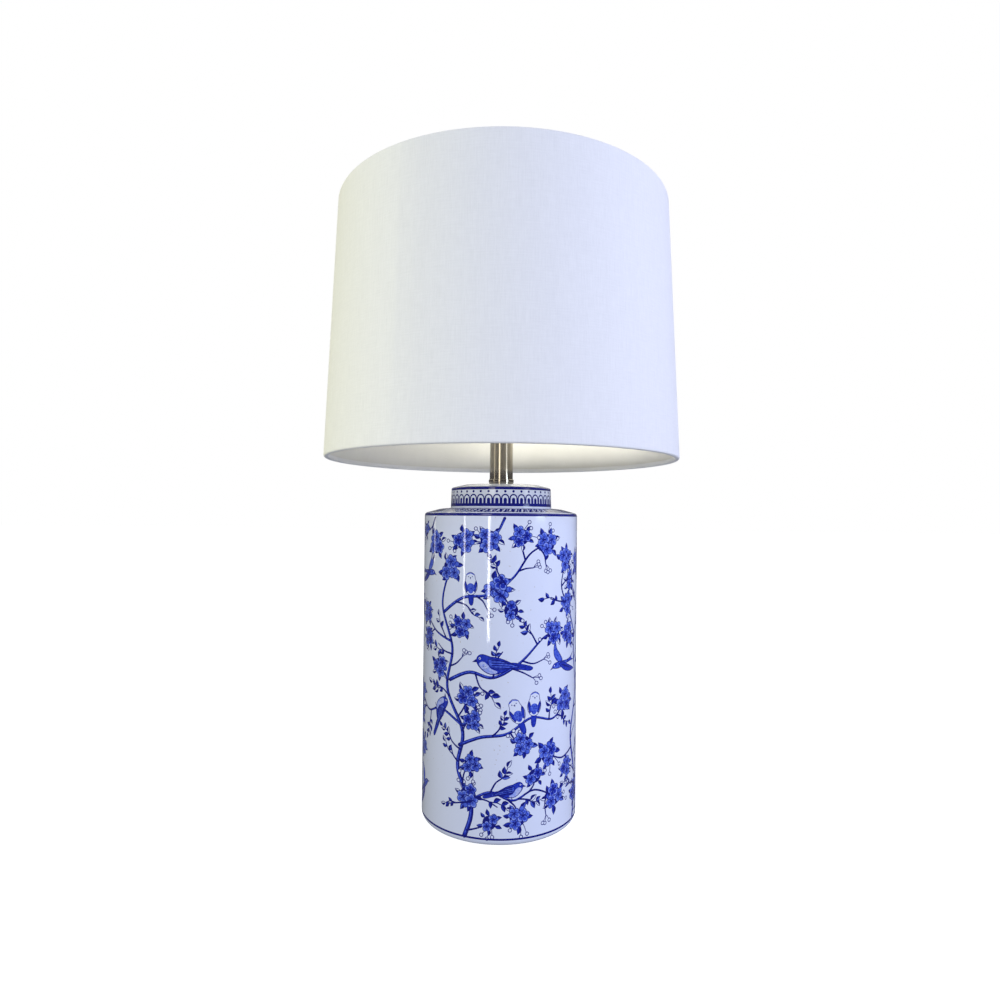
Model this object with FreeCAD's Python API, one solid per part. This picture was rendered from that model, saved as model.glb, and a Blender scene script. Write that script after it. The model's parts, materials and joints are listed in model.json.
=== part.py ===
"""Table lamp on a lidded ginger jar, with a tapered drum shade carried by a harp.

Millimetres, +Z up. The origin is on the table, at the middle of the jar's foot. The front of the lamp
faces -Y: the cord outlet is at the back of the foot (+Y), the switch knob points forward (-Y), and the
harp stands in the XZ plane. Each piece of the lamp is one solid, or one group of equal solids, and is
written to parts/NODE.step.
"""

import math
import os

import FreeCAD
import Part

# ---------------------------------------------------------------- driving dimensions
# Jar: a straight ceramic cylinder with a foot ring, a low shoulder and a flat land for the lid
jar_radius = 83.0
jar_height = 327.5  # foot ring to the land that carries the lid
jar_wall = 6.0
foot_round = 7.0  # outer edge of the foot
foot_ring_width = 10.0
foot_recess_height = 20.5  # room under the floor for the nut and the cord
floor_thickness = 7.0
shoulder_slope = 15.0  # degrees, between the corner and the break
shoulder_round = 4.0
shoulder_break_radius = 66.0  # where the shoulder turns flatter
shoulder_break_drop = 0.9  # below the land
shoulder_break_round = 30.0
mouth_radius = 46.0

# Felt disc under the foot
felt_thickness = 1.5
felt_inset = 3.0  # in from the flat of the foot

# Lid: an upright band with a shallow domed top and a flange that drops into the mouth
lid_radius = 55.0  # at its lower edge
lid_taper = 0.8  # how much narrower the band is at its top
lid_band_height = 21.8
lid_dome_height = 4.9
lid_dome_step_radius = 40.0
lid_wall = 4.5
lid_flange_depth = 8.0
lid_flange_wall = 4.2
lid_flange_clearance = 0.8
lid_land_margin = 1.0  # land of the jar that shows outside the lid

# Cord outlet at the back of the foot, with its snap-in bushing
outlet_height = 15.0  # above the table
outlet_diameter = 11.0
bushing_bore = 7.0
bushing_flange_diameter = 15.0
bushing_flange_thickness = 2.0
bushing_clearance = 0.15
bushing_lip = 0.8  # how far the snap lip stands past the hole
bushing_lip_length = 2.0

# Threaded rod that clamps the whole lamp together
rod_diameter = 10.2
rod_bore = 7.0
rod_tail = 3.0  # below the base nut
rod_hole_clearance = 0.25  # on the radius, in washers and caps
ceramic_hole_clearance = 1.4  # on the radius, in the jar and the lid

# Washers and nut under the floor of the jar
base_washer_diameter = 44.0
base_washer_thickness = 2.0
lock_washer_diameter = 18.0
lock_washer_thickness = 1.2
lock_washer_slot = 2.0
nut_across_flats = 14.5
nut_height = 4.0
nut_chamfer = 0.8

# Neck: a metal tube between two caps, standing on the lid
neck_diameter = 25.4
neck_wall = 0.9
neck_length = 47.0
collar_floor = 1.2
collar_height = 5.0
collar_bead = 0.9  # wall of the bead round the tube
neck_fit_clearance = 0.05
neck_cap_flange = 1.5
neck_cap_overhang = 0.4
neck_cap_spigot = 3.0

# Saddle that carries the harp
saddle_span = 62.0  # over the outsides of its two arms
saddle_width = 12.0
saddle_thickness = 1.5
saddle_bend = 3.0  # inner radius
saddle_shoulder_height = 5.0  # where the arms narrow to tongues, above the strip's underside
saddle_arm_height = 21.0
tongue_width = 5.2
saddle_washer_diameter = 16.0
saddle_washer_thickness = 1.0

# Harp: a bent wire bow with a block at its top that the swivel turns in
harp_height = 229.0  # saddle to the top of the block
harp_wire = 3.6
harp_leg_straight = 46.0
harp_half_width = 53.0
harp_lower_widening = 52.0  # height over which the legs widen
harp_upper_corner_drop = 44.0
harp_upper_half_width = 30.0
harp_leg_bend = 36.0
harp_side_bend = 62.0
harp_corner_bend = 48.0
harp_top_bend = 30.0
harp_block_radius = 7.0
harp_block_height = 6.4
harp_gap = 0.05  # between a leg and its tongue

# Sleeves that lock the harp's legs to the saddle
sleeve_bore = 7.9
sleeve_wall = 0.8
sleeve_length = 15.0
sleeve_rim = 0.5  # rolled rim at each end
sleeve_rim_height = 1.6
sleeve_seat_gap = 0.1

# Swivel stud on the harp's block
pivot_radius = 2.2
pivot_clearance = 0.08
swivel_gap = 0.1
swivel_disc_radius = 9.0
swivel_disc_thickness = 1.6
rivet_head_radius = 3.6
rivet_head_height = 1.2
stud_diameter = 6.35
stud_length = 11.0  # above the hub of the shade's spider

# Finial
finial_bore_clearance = 0.08
finial_base_radius = 6.5
finial_base_height = 4.0
finial_neck_radius = 4.6
finial_ball_radius = 8.5
finial_height = 26.0
finial_bore_spare = 2.0
finial_seat_gap = 0.1

# Shade: a tapered drum, linen over a stiff liner, on two wire rings and a three-armed spider
shade_bottom_radius = 189.5
shade_narrowing = 11.5  # how much less the radius is at the top
shade_height = 270.0
linen_thickness = 0.5
liner_thickness = 0.7
layer_clearance = 0.1
ring_wire = 3.0
ring_clearance = 0.1
hem_height = 9.0
hem_round = 1.8
spider_drop = 12.0  # hub below the top edge of the shade
spider_arms = 3
spider_first_arm = 90.0  # degrees, from +X
spider_arm_wire = 3.0
spider_arm_root = 2.0  # how far an arm reaches into the hub
spider_rise_start = 30.0  # how far inside the ring the arms begin to rise
spider_bend = 14.0
hub_radius = 11.0
hub_thickness = 1.5
hub_bore_clearance = 0.3
hem_notch_clearance = 0.6

# Lamp socket, medium screw base
socket_hub_radius = 8.0
socket_hub_height = 9.0
socket_hub_straight = 7.0  # plain part below the flare
socket_cap_radius = 16.4
socket_cap_flare = 7.5  # height of the curved part
socket_cap_skirt = 10.0
socket_sheet = 0.7
socket_shell_height = 42.0
socket_rim_bead = 0.6
socket_rim_height = 2.0
shell_insert_clearance = 0.1
shell_insert_depth = 7.0
insulator_thickness = 0.5
insulator_clearance = 0.2
socket_body_clearance = 0.5
socket_body_height = 22.0
socket_body_lift = 2.0  # above the bottom of the shell
screw_shell_wall = 0.4
screw_shell_height = 24.0
screw_shell_foot = 0.6
contact_height = 1.6
contact_radius = 4.0
contact_gap = 0.2
terminal_radius = 3.0
terminal_length = 2.6  # depth of the flat behind the screw's head
terminal_head_height = 1.8
terminal_pocket_width = 12.0
terminal_pocket_height = 8.0
screw_slot_width = 0.8
set_screw_diameter = 3.2
set_screw_head_diameter = 4.6
set_screw_head_height = 1.6
set_screw_height = 3.2  # above the foot of the hub
set_screw_clearance = 0.05

# Rotary switch in the socket body
key_radius = 2.0
key_hole_clearance = 0.08
key_height = 9.0  # axis above the bottom of the socket body
key_root_depth = 9.0  # how far the key reaches into the body
key_reach = 12.0  # how far it stands out of the shell
key_slot_clearance = 1.0
knob_radius = 6.0
knob_length = 12.0
knob_gap = 3.0  # between knob and shell
knob_bore_clearance = 0.05
knob_flutes = 12
knob_flute_radius = 0.9
knob_dome = 1.5

# Bulb, 60 mm pear
bulb_radius = 30.0
bulb_length = 108.0
bulb_neck_radius = 12.7
bulb_neck_length = 12.0  # straight neck above the screw cap
bulb_glass_wall = 0.8
bulb_cap_radius = 13.0
bulb_cap_height = 21.0
bulb_cap_clearance = 0.2  # on the radius, in the socket's screw shell
bulb_cap_wall = 0.25
bulb_insulator_height = 4.5
bulb_insulator_bottom_radius = 6.5
bulb_tip_radius = 4.6
bulb_tip_height = 1.2

# ---------------------------------------------------------------- places worked out from the sizes
foot_z = felt_thickness
foot_flat_radius = jar_radius - foot_round
floor_underside_z = foot_z + foot_recess_height
floor_top_z = floor_underside_z + floor_thickness
lid_seat_z = foot_z + jar_height
lid_top_z = lid_seat_z + lid_band_height + lid_dome_height
rod_radius = rod_diameter / 2
rod_hole_radius = rod_radius + rod_hole_clearance
ceramic_hole_radius = rod_radius + ceramic_hole_clearance

base_washer_z = floor_underside_z - base_washer_thickness
lock_washer_z = base_washer_z - lock_washer_thickness
nut_z = lock_washer_z - nut_height
rod_bottom_z = nut_z - rod_tail

neck_radius = neck_diameter / 2
neck_bottom_z = lid_top_z + collar_floor
neck_top_z = neck_bottom_z + neck_length
saddle_z = neck_top_z + neck_cap_flange
saddle_top_z = saddle_z + saddle_thickness
saddle_shoulder_z = saddle_z + saddle_shoulder_height
tongue_x = saddle_span / 2 - saddle_thickness  # inner face of a tongue
leg_x = tongue_x - harp_gap - harp_wire / 2
leg_bottom_z = saddle_shoulder_z
socket_z = saddle_top_z + saddle_washer_thickness

harp_top_z = saddle_top_z + harp_height
harp_bar_z = harp_top_z - harp_block_height / 2
swivel_disc_z = harp_top_z + swivel_gap
hub_z = swivel_disc_z + swivel_disc_thickness
hub_top_z = hub_z + hub_thickness
finial_z = hub_top_z + finial_seat_gap
shade_top_z = hub_z + hub_thickness / 2 + spider_drop
shade_bottom_z = shade_top_z - shade_height
ring_inset = linen_thickness + layer_clearance + liner_thickness + ring_clearance + ring_wire / 2
ring_lift = linen_thickness + ring_clearance + ring_wire / 2
shade_top_radius = shade_bottom_radius - shade_narrowing
shade_taper = shade_narrowing / shade_height
top_ring_z = shade_top_z - ring_lift
bottom_ring_z = shade_bottom_z + ring_lift

socket_skirt_top_z = socket_z + socket_hub_height + socket_cap_flare + socket_cap_skirt
shell_bottom_z = socket_skirt_top_z - shell_insert_depth
shell_top_z = socket_skirt_top_z + socket_shell_height
shell_insert_radius = socket_cap_radius - socket_sheet - shell_insert_clearance
body_z = shell_bottom_z + socket_body_lift
body_radius = shell_insert_radius - socket_sheet - socket_body_clearance
body_top_z = body_z + socket_body_height
key_z = body_z + key_height
contact_top_z = body_top_z + contact_height
bulb_tip_z = contact_top_z + contact_gap
bulb_insulator_z = bulb_tip_z + bulb_tip_height
bulb_cap_z = bulb_insulator_z + bulb_insulator_height
bulb_cap_top_z = bulb_cap_z + bulb_cap_height
bulb_top_z = bulb_tip_z + bulb_length

UP = FreeCAD.Vector(0, 0, 1)
ORIGIN = FreeCAD.Vector(0, 0, 0)
SIDES = {"left": -1, "right": 1}


# ---------------------------------------------------------------- shape helpers
def in_plane(point):
    """A point of a profile, (x or radius, z), as a vector in the XZ plane."""
    return FreeCAD.Vector(point[0], 0, point[1])


def rounding(before, corner, after, radius):
    """Start, middle and end of the arc that rounds a corner, or None where it stays sharp."""
    if radius <= 0:
        return None
    back = (before - corner).normalize()
    on = (after - corner).normalize()
    half = back.getAngle(on) / 2
    reach = radius / math.tan(half)
    middle = corner + (back + on).normalize() * (radius / math.sin(half) - radius)
    return corner + back * reach, middle, corner + on * reach


def outline(corners, closed=True):
    """A wire in the XZ plane through corners (x, z, rounding radius), with tangent arcs at the corners."""
    points = [in_plane(c) for c in corners]
    count = len(points)
    arcs = []
    for i, corner in enumerate(corners):
        inside = closed or 0 < i < count - 1
        radius = corner[2] if inside and len(corner) > 2 else 0
        arcs.append(rounding(points[i - 1], points[i], points[(i + 1) % count], radius))
    edges = []
    for i in range(count if closed else count - 1):
        following = (i + 1) % count
        start = arcs[i][2] if arcs[i] else points[i]
        end = arcs[following][0] if arcs[following] else points[following]
        if start.distanceToPoint(end) > 1e-6:
            edges.append(Part.LineSegment(start, end).toShape())
        if arcs[following]:
            edges.append(Part.Arc(*arcs[following]).toShape())
    return Part.Wire(edges)


def turned(corners):
    """A solid of revolution about the Z axis from a closed profile of (radius, z, rounding radius)."""
    return Part.Face(outline(corners)).revolve(ORIGIN, UP, 360)


def rod_between(start, end, radius):
    """A plain round rod from one point to another."""
    along = end - start
    return Part.makeCylinder(radius, along.Length, start, along)


def ring_disc(outer, inner, z, height):
    """A flat ring about the Z axis."""
    return turned([(inner, z), (outer, z), (outer, z + height), (inner, z + height)])


def tube_along(path, radius):
    """A solid round bar along an open wire."""
    first = path.OrderedEdges[0]
    start = first.valueAt(first.FirstParameter)
    direction = first.tangentAt(first.FirstParameter)
    section = Part.Wire([Part.makeCircle(radius, start, direction)])
    return path.makePipeShell([section], True, False)


def about_z(shape, degrees):
    """A copy of a shape turned about the Z axis."""
    copy = shape.copy()
    copy.rotate(ORIGIN, UP, degrees)
    return copy


# ---------------------------------------------------------------- jar, lid and base
def shoulder_z(radius):
    """Height of the shoulder's steeper slope at a radius."""
    run = radius - shoulder_break_radius
    return lid_seat_z - shoulder_break_drop - run * math.tan(math.radians(shoulder_slope))


def make_ginger_jar():
    """Cylinder, shoulder, mouth and recessed floor in one ceramic shell, with the cord outlet."""
    inner_radius = jar_radius - jar_wall
    jar = turned(
        [
            (foot_flat_radius - foot_ring_width, foot_z, 3.0),
            (jar_radius, foot_z, foot_round),
            (jar_radius, shoulder_z(jar_radius), shoulder_round),
            (shoulder_break_radius, shoulder_z(shoulder_break_radius), shoulder_break_round),
            (lid_radius + lid_land_margin, lid_seat_z, 1.0),
            (mouth_radius, lid_seat_z, 1.5),
            (mouth_radius, lid_seat_z - jar_wall, 1.5),
            (inner_radius, shoulder_z(inner_radius) - jar_wall, 5.0),
            (inner_radius, floor_top_z, 6.0),
            (ceramic_hole_radius, floor_top_z, 0.8),
            (ceramic_hole_radius, floor_underside_z, 0.8),
            (foot_flat_radius - foot_ring_width, floor_underside_z, 4.0),
        ]
    )
    outlet = Part.makeCylinder(
        outlet_diameter / 2, jar_radius, FreeCAD.Vector(0, 0, outlet_height), FreeCAD.Vector(0, 1, 0)
    )
    return jar.cut(outlet)


def make_cord_bushing(jar):
    """Flanged bushing in the outlet: the flange seats on the jar's curve, the lip snaps behind the wall."""
    wall_inside_y = foot_flat_radius - foot_ring_width
    shank_radius = outlet_diameter / 2 - bushing_clearance
    flange_radius = bushing_flange_diameter / 2
    flange_back_y = math.sqrt(jar_radius**2 - flange_radius**2)
    outer_y = jar_radius + bushing_flange_thickness
    lip_radius = outlet_diameter / 2 + bushing_lip
    inner_y = wall_inside_y - bushing_lip_length - bushing_clearance
    # Profile about the Y axis, built about Z and turned: radius, distance along the axis
    bush = turned(
        [
            (bushing_bore / 2, inner_y),
            (shank_radius, inner_y, 0.4),
            (lip_radius, inner_y + bushing_lip_length, 0.2),
            (shank_radius, inner_y + bushing_lip_length),
            (shank_radius, flange_back_y),
            (flange_radius, flange_back_y),
            (flange_radius, outer_y, 1.2),
            (bushing_bore / 2, outer_y),
        ]
    )
    bush.rotate(ORIGIN, FreeCAD.Vector(1, 0, 0), -90)
    bush.translate(FreeCAD.Vector(0, 0, outlet_height))
    return bush.cut(jar)


def make_felt_pad():
    """Felt disc glued under the foot ring; the lamp rests on it."""
    return Part.makeCylinder(foot_flat_radius - felt_inset, felt_thickness)


def make_jar_lid():
    """Banded lid with a shallow dome, a hole for the rod and a flange that centres it in the mouth."""
    flange_radius = mouth_radius - lid_flange_clearance
    flange_inner = flange_radius - lid_flange_wall
    band_top_z = lid_seat_z + lid_band_height
    return turned(
        [
            (flange_radius, lid_seat_z, 0.4),
            (lid_radius, lid_seat_z, 0.8),
            (lid_radius - lid_taper, band_top_z, 2.2),
            (lid_dome_step_radius, lid_top_z - 1.4, 12.0),
            (neck_radius + 2.0, lid_top_z, 4.0),
            (ceramic_hole_radius, lid_top_z, 0.5),
            (ceramic_hole_radius, lid_top_z - lid_wall, 0.5),
            (flange_inner, band_top_z - lid_wall, 4.0),
            (flange_inner, lid_seat_z - lid_flange_depth, 1.0),
            (flange_radius, lid_seat_z - lid_flange_depth, 1.0),
        ]
    )


def make_lock_washer():
    """Split spring washer on the rod, its cut facing +X."""
    washer = ring_disc(lock_washer_diameter / 2, rod_hole_radius, lock_washer_z, lock_washer_thickness)
    slot = Part.makeBox(
        lock_washer_diameter, lock_washer_slot, lock_washer_thickness * 3,
        FreeCAD.Vector(0, -lock_washer_slot / 2, lock_washer_z - lock_washer_thickness),
    )
    return washer.cut(slot)


def make_base_nut():
    """Hex nut with chamfered corners."""
    corner = nut_across_flats / 2 / math.cos(math.radians(30))
    first = FreeCAD.Vector(corner, 0, nut_z)
    turns = [FreeCAD.Rotation(UP, 60 * i) for i in range(7)]
    hexagon = Part.makePolygon([turn.multVec(first) for turn in turns])
    prism = Part.Face(hexagon).extrude(UP * nut_height)
    shoulder = corner - nut_chamfer
    envelope = turned(
        [
            (rod_hole_radius, nut_z),
            (shoulder, nut_z),
            (corner, nut_z + nut_chamfer),
            (corner, nut_z + nut_height - nut_chamfer),
            (shoulder, nut_z + nut_height),
            (rod_hole_radius, nut_z + nut_height),
        ]
    )
    return prism.common(envelope)


def make_lamp_rod():
    """Hollow rod from the base nut to the socket; the wires run through it."""
    top = socket_z + socket_hub_height
    return ring_disc(rod_radius, rod_bore / 2, rod_bottom_z, top - rod_bottom_z)


# ---------------------------------------------------------------- neck
def make_neck_collar():
    """Beaded cup on the lid that the neck tube stands in."""
    bore = neck_radius + neck_fit_clearance
    bead = bore + collar_bead
    base = bead - 0.5
    top = lid_top_z + collar_height
    return turned(
        [
            (rod_hole_radius, lid_top_z),
            (base, lid_top_z, 0.2),
            (base, lid_top_z + collar_floor, 0.2),
            (bead, lid_top_z + collar_floor + 0.6, 0.5),
            (bead, top, 0.6),
            (bore, top),
            (bore, neck_bottom_z),
            (rod_hole_radius, neck_bottom_z),
        ]
    )


def make_neck_tube():
    """Thin tube round the rod between the collar and the neck cap."""
    return ring_disc(neck_radius, neck_radius - neck_wall, neck_bottom_z, neck_length)


def make_neck_cap():
    """Flanged cap on top of the tube, with a spigot inside it."""
    spigot = neck_radius - neck_wall - neck_fit_clearance
    flange = neck_radius + neck_cap_overhang
    return turned(
        [
            (rod_hole_radius, neck_top_z - neck_cap_spigot),
            (spigot, neck_top_z - neck_cap_spigot, 0.4),
            (spigot, neck_top_z),
            (flange, neck_top_z, 0.3),
            (flange, saddle_z, 0.6),
            (rod_hole_radius, saddle_z),
        ]
    )


# ---------------------------------------------------------------- saddle, harp and sleeves
def make_harp_saddle():
    """Sheet strip bent up at both ends; its arms narrow to the tongues that the sleeves slide over."""
    outside = saddle_span / 2
    inside = outside - saddle_thickness
    top = saddle_z + saddle_arm_height
    strip = Part.Face(
        outline(
            [
                (-outside, saddle_z, saddle_bend + saddle_thickness),
                (outside, saddle_z, saddle_bend + saddle_thickness),
                (outside, top),
                (inside, top),
                (inside, saddle_top_z, saddle_bend),
                (-inside, saddle_top_z, saddle_bend),
                (-inside, top),
                (-outside, top),
            ]
        )
    ).extrude(FreeCAD.Vector(0, saddle_width, 0))
    strip.translate(FreeCAD.Vector(0, -saddle_width / 2, 0))
    beside = (saddle_width - tongue_width) / 2
    for y in (tongue_width / 2, -saddle_width / 2):
        corner = FreeCAD.Vector(-outside, y, saddle_shoulder_z)
        strip = strip.cut(Part.makeBox(saddle_span, beside, saddle_arm_height, corner))
    return strip.cut(Part.makeCylinder(rod_hole_radius, saddle_thickness, FreeCAD.Vector(0, 0, saddle_z)))


def make_harp():
    """Two bent wire legs brazed into a top block with the swivel's bearing hole."""
    widened_z = leg_bottom_z + harp_leg_straight + harp_lower_widening
    half = outline(
        [
            (leg_x, leg_bottom_z),
            (leg_x, leg_bottom_z + harp_leg_straight, harp_leg_bend),
            (harp_half_width, widened_z, harp_side_bend),
            (harp_half_width, harp_bar_z - harp_upper_corner_drop, harp_corner_bend),
            (harp_upper_half_width, harp_bar_z, harp_top_bend),
            (harp_block_radius - 1.0, harp_bar_z),
        ],
        closed=False,
    )
    leg = tube_along(half, harp_wire / 2)
    block = turned(
        [
            (0, harp_top_z - harp_block_height, 0),
            (harp_block_radius, harp_top_z - harp_block_height, 1.0),
            (harp_block_radius, harp_top_z, 1.0),
            (0, harp_top_z, 0),
        ]
    )
    bow = block.fuse([leg, about_z(leg, 180)]).removeSplitter()
    block_foot = FreeCAD.Vector(0, 0, harp_top_z - harp_block_height)
    return bow.cut(Part.makeCylinder(pivot_radius + pivot_clearance, harp_block_height, block_foot))


def make_harp_sleeve(side):
    """Ferrule round one leg of the harp and its tongue, standing on the saddle's shoulder."""
    inner = sleeve_bore / 2
    outer = inner + sleeve_wall
    rim = outer + sleeve_rim
    low = saddle_shoulder_z + sleeve_seat_gap
    high = low + sleeve_length
    sleeve = turned(
        [
            (inner, low),
            (rim, low, 0.4),
            (rim, low + sleeve_rim_height, 0.4),
            (outer, low + sleeve_rim_height),
            (outer, high - sleeve_rim_height),
            (rim, high - sleeve_rim_height, 0.4),
            (rim, high, 0.4),
            (inner, high),
        ]
    )
    pair_middle = (leg_x - harp_wire / 2 + saddle_span / 2) / 2
    sleeve.translate(FreeCAD.Vector(SIDES[side] * pair_middle, 0, 0))
    return sleeve


def make_swivel_stud():
    """Pivot riveted through the harp's block, with the disc and threaded stud that carry the shade."""
    head_top = harp_top_z - harp_block_height - swivel_gap
    stud_radius = stud_diameter / 2
    stud_top = hub_top_z + stud_length
    return turned(
        [
            (0, head_top - rivet_head_height),
            (rivet_head_radius, head_top - rivet_head_height, 0.8),
            (rivet_head_radius, head_top),
            (pivot_radius, head_top),
            (pivot_radius, swivel_disc_z),
            (swivel_disc_radius, swivel_disc_z, 0.3),
            (swivel_disc_radius, hub_z, 0.3),
            (stud_radius, hub_z),
            (stud_radius, stud_top, 0.6),
            (0, stud_top),
        ]
    )


def make_finial():
    """Turned nut with a ball top that clamps the shade's hub onto the stud."""
    bore = stud_diameter / 2 + finial_bore_clearance
    bore_top = hub_top_z + stud_length + finial_bore_spare
    ball_z = finial_z + finial_height - finial_ball_radius
    neck_z = finial_z + finial_base_height
    sphere_meet = math.sqrt(finial_ball_radius**2 - finial_neck_radius**2)
    body = turned(
        [
            (0, finial_z),
            (finial_base_radius, finial_z, 0.6),
            (finial_base_radius, neck_z - 1.2, 1.0),
            (finial_neck_radius, neck_z, 0.6),
            (finial_neck_radius, ball_z - sphere_meet + 0.5),
            (0, ball_z - sphere_meet + 0.5),
        ]
    )
    ball = Part.makeSphere(finial_ball_radius, FreeCAD.Vector(0, 0, ball_z))
    hole = Part.makeCylinder(bore, bore_top - finial_z, FreeCAD.Vector(0, 0, finial_z))
    return body.fuse(ball).removeSplitter().cut(hole)


# ---------------------------------------------------------------- shade
def shade_radius(z):
    """Outer radius of the shade at a height."""
    return shade_bottom_radius - (z - shade_bottom_z) * shade_taper


def ring_radius(z):
    """Radius of the middle of the wire of a ring at a height."""
    return shade_radius(z) - ring_inset


def hem_radius(z):
    """Inner radius of the linen that is turned in round the ring at a height."""
    return ring_radius(z) - ring_wire / 2 - ring_clearance - linen_thickness


def make_spider_arm():
    """One spider arm: out from the hub, then up to the top ring."""
    ring_inside = ring_radius(top_ring_z) - ring_wire / 2
    level_z = hub_z + hub_thickness / 2
    path = outline(
        [
            (hub_radius - spider_arm_root, level_z),
            (ring_inside - spider_rise_start, level_z, spider_bend),
            (ring_inside, top_ring_z),
        ],
        closed=False,
    )
    return tube_along(path, spider_arm_wire / 2)


def make_shade_spider():
    """Hub washer with its arms."""
    stud_hole = stud_diameter / 2 + hub_bore_clearance
    hub = ring_disc(hub_radius, stud_hole, hub_z, hub_thickness)
    arm = make_spider_arm()
    arms = [about_z(arm, spider_first_arm + i * 360 / spider_arms) for i in range(spider_arms)]
    spider = hub.fuse(arms).removeSplitter()
    above = Part.makeCylinder(hub_radius, spider_arm_wire, FreeCAD.Vector(0, 0, hub_top_z))
    below = Part.makeCylinder(hub_radius, spider_arm_wire, FreeCAD.Vector(0, 0, hub_z - spider_arm_wire))
    ring_middle = FreeCAD.Vector(0, 0, top_ring_z)
    ring = Part.makeTorus(ring_radius(top_ring_z), ring_wire / 2 + ring_clearance, ring_middle)
    return spider.cut(above).cut(below).cut(ring)


def make_shade_ring(z):
    """Wire ring inside one edge of the shade."""
    return Part.makeTorus(ring_radius(z), ring_wire / 2, FreeCAD.Vector(0, 0, z))


def make_shade_liner():
    """Stiff translucent liner, a tapered tube just inside the linen."""
    low = shade_bottom_z + hem_round
    high = shade_top_z - hem_round
    outer_low = shade_radius(low) - linen_thickness - layer_clearance
    outer_high = shade_radius(high) - linen_thickness - layer_clearance
    return turned(
        [
            (outer_low - liner_thickness, low),
            (outer_low, low),
            (outer_high, high),
            (outer_high - liner_thickness, high),
        ]
    )


def make_shade_linen():
    """Linen skin over the liner, turned in round both rings, with a notch in the hem at each arm."""
    low = shade_bottom_z
    high = shade_top_z
    cloth = linen_thickness
    inner_round = hem_round - cloth
    hem_low = hem_radius(bottom_ring_z)
    hem_high = hem_radius(top_ring_z)
    skin = turned(
        [
            (shade_bottom_radius, low, hem_round),
            (shade_top_radius, high, hem_round),
            (hem_high, high, hem_round),
            (hem_high, high - hem_height),
            (hem_high + cloth, high - hem_height),
            (hem_high + cloth, high - cloth, inner_round),
            (shade_radius(high - cloth) - cloth, high - cloth, inner_round),
            (shade_radius(low + cloth) - cloth, low + cloth, inner_round),
            (hem_low + cloth, low + cloth, inner_round),
            (hem_low + cloth, low + hem_height),
            (hem_low, low + hem_height),
            (hem_low, low, hem_round),
        ]
    )
    half_notch = spider_arm_wire / 2 + hem_notch_clearance
    notch = Part.makeBox(
        2 * ring_wire, 2 * half_notch, hem_height,
        FreeCAD.Vector(hem_high - ring_wire, -half_notch, high - hem_height - cloth),
    )
    for i in range(spider_arms):
        skin = skin.cut(about_z(notch, spider_first_arm + i * 360 / spider_arms))
    return skin


# ---------------------------------------------------------------- socket
def make_socket_cap():
    """Spun cap of the socket: a hub on the rod, a curved flare and a skirt."""
    sheet = socket_sheet
    flare_top_z = socket_z + socket_hub_height + socket_cap_flare
    inner_skirt = socket_cap_radius - sheet
    cap = turned(
        [
            (rod_hole_radius, socket_z),
            (socket_hub_radius, socket_z, 0.6),
            (socket_hub_radius, socket_z + socket_hub_straight, 3.0),
            (socket_cap_radius, flare_top_z, 6.0),
            (socket_cap_radius, socket_skirt_top_z),
            (inner_skirt, socket_skirt_top_z),
            (inner_skirt, flare_top_z + sheet / 2, 6.0 - sheet),
            (socket_hub_radius + 0.4, socket_z + socket_hub_height, 0.4),
            (rod_hole_radius, socket_z + socket_hub_height),
        ]
    )
    screw_z = socket_z + set_screw_height
    hole = Part.makeCylinder(
        set_screw_diameter / 2, socket_hub_radius, FreeCAD.Vector(0, 0, screw_z), FreeCAD.Vector(0, 1, 0)
    )
    return cap.cut(hole)


def make_socket_set_screw():
    """Set screw in the hub of the socket cap, bearing on the rod."""
    screw_z = socket_z + set_screw_height
    tip = FreeCAD.Vector(0, rod_radius, screw_z)
    seat = FreeCAD.Vector(0, socket_hub_radius + set_screw_clearance, screw_z)
    face = seat + FreeCAD.Vector(0, set_screw_head_height, 0)
    shank = rod_between(tip, seat, set_screw_diameter / 2 - set_screw_clearance)
    head = rod_between(seat, face, set_screw_head_diameter / 2)
    slot = Part.makeBox(
        set_screw_head_diameter, set_screw_head_height, screw_slot_width,
        face - FreeCAD.Vector(set_screw_head_diameter / 2, set_screw_head_height / 2, screw_slot_width / 2),
    )
    return shank.fuse(head).removeSplitter().cut(slot)


def make_socket_shell():
    """Outer shell of the socket, stepped to fit in the cap, with a rolled rim and the key's slot."""
    sheet = socket_sheet
    outer = socket_cap_radius
    shell = turned(
        [
            (shell_insert_radius - sheet, shell_bottom_z),
            (shell_insert_radius, shell_bottom_z),
            (shell_insert_radius, socket_skirt_top_z + shell_insert_clearance),
            (outer, socket_skirt_top_z + shell_insert_clearance + sheet, 0.3),
            (outer, shell_top_z - socket_rim_height),
            (outer + socket_rim_bead, shell_top_z - socket_rim_height, 0.3),
            (outer + socket_rim_bead, shell_top_z, 0.6),
            (outer - sheet, shell_top_z, 0.2),
            (outer - sheet, socket_skirt_top_z + shell_insert_clearance + 2 * sheet),
            (shell_insert_radius - sheet, socket_skirt_top_z + shell_insert_clearance + sheet),
        ]
    )
    half_slot = key_radius + key_slot_clearance
    return shell.cut(key_slot(half_slot, outer + socket_rim_bead))


def key_slot(half_width, reach):
    """Open-ended slot that lets the switch key out at the front, down to the edge of a shell."""
    corner = FreeCAD.Vector(-half_width, -reach, shell_bottom_z)
    box = Part.makeBox(2 * half_width, reach, key_z - shell_bottom_z, corner)
    end = Part.makeCylinder(half_width, reach, FreeCAD.Vector(0, 0, key_z), FreeCAD.Vector(0, -1, 0))
    return box.fuse(end)


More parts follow.
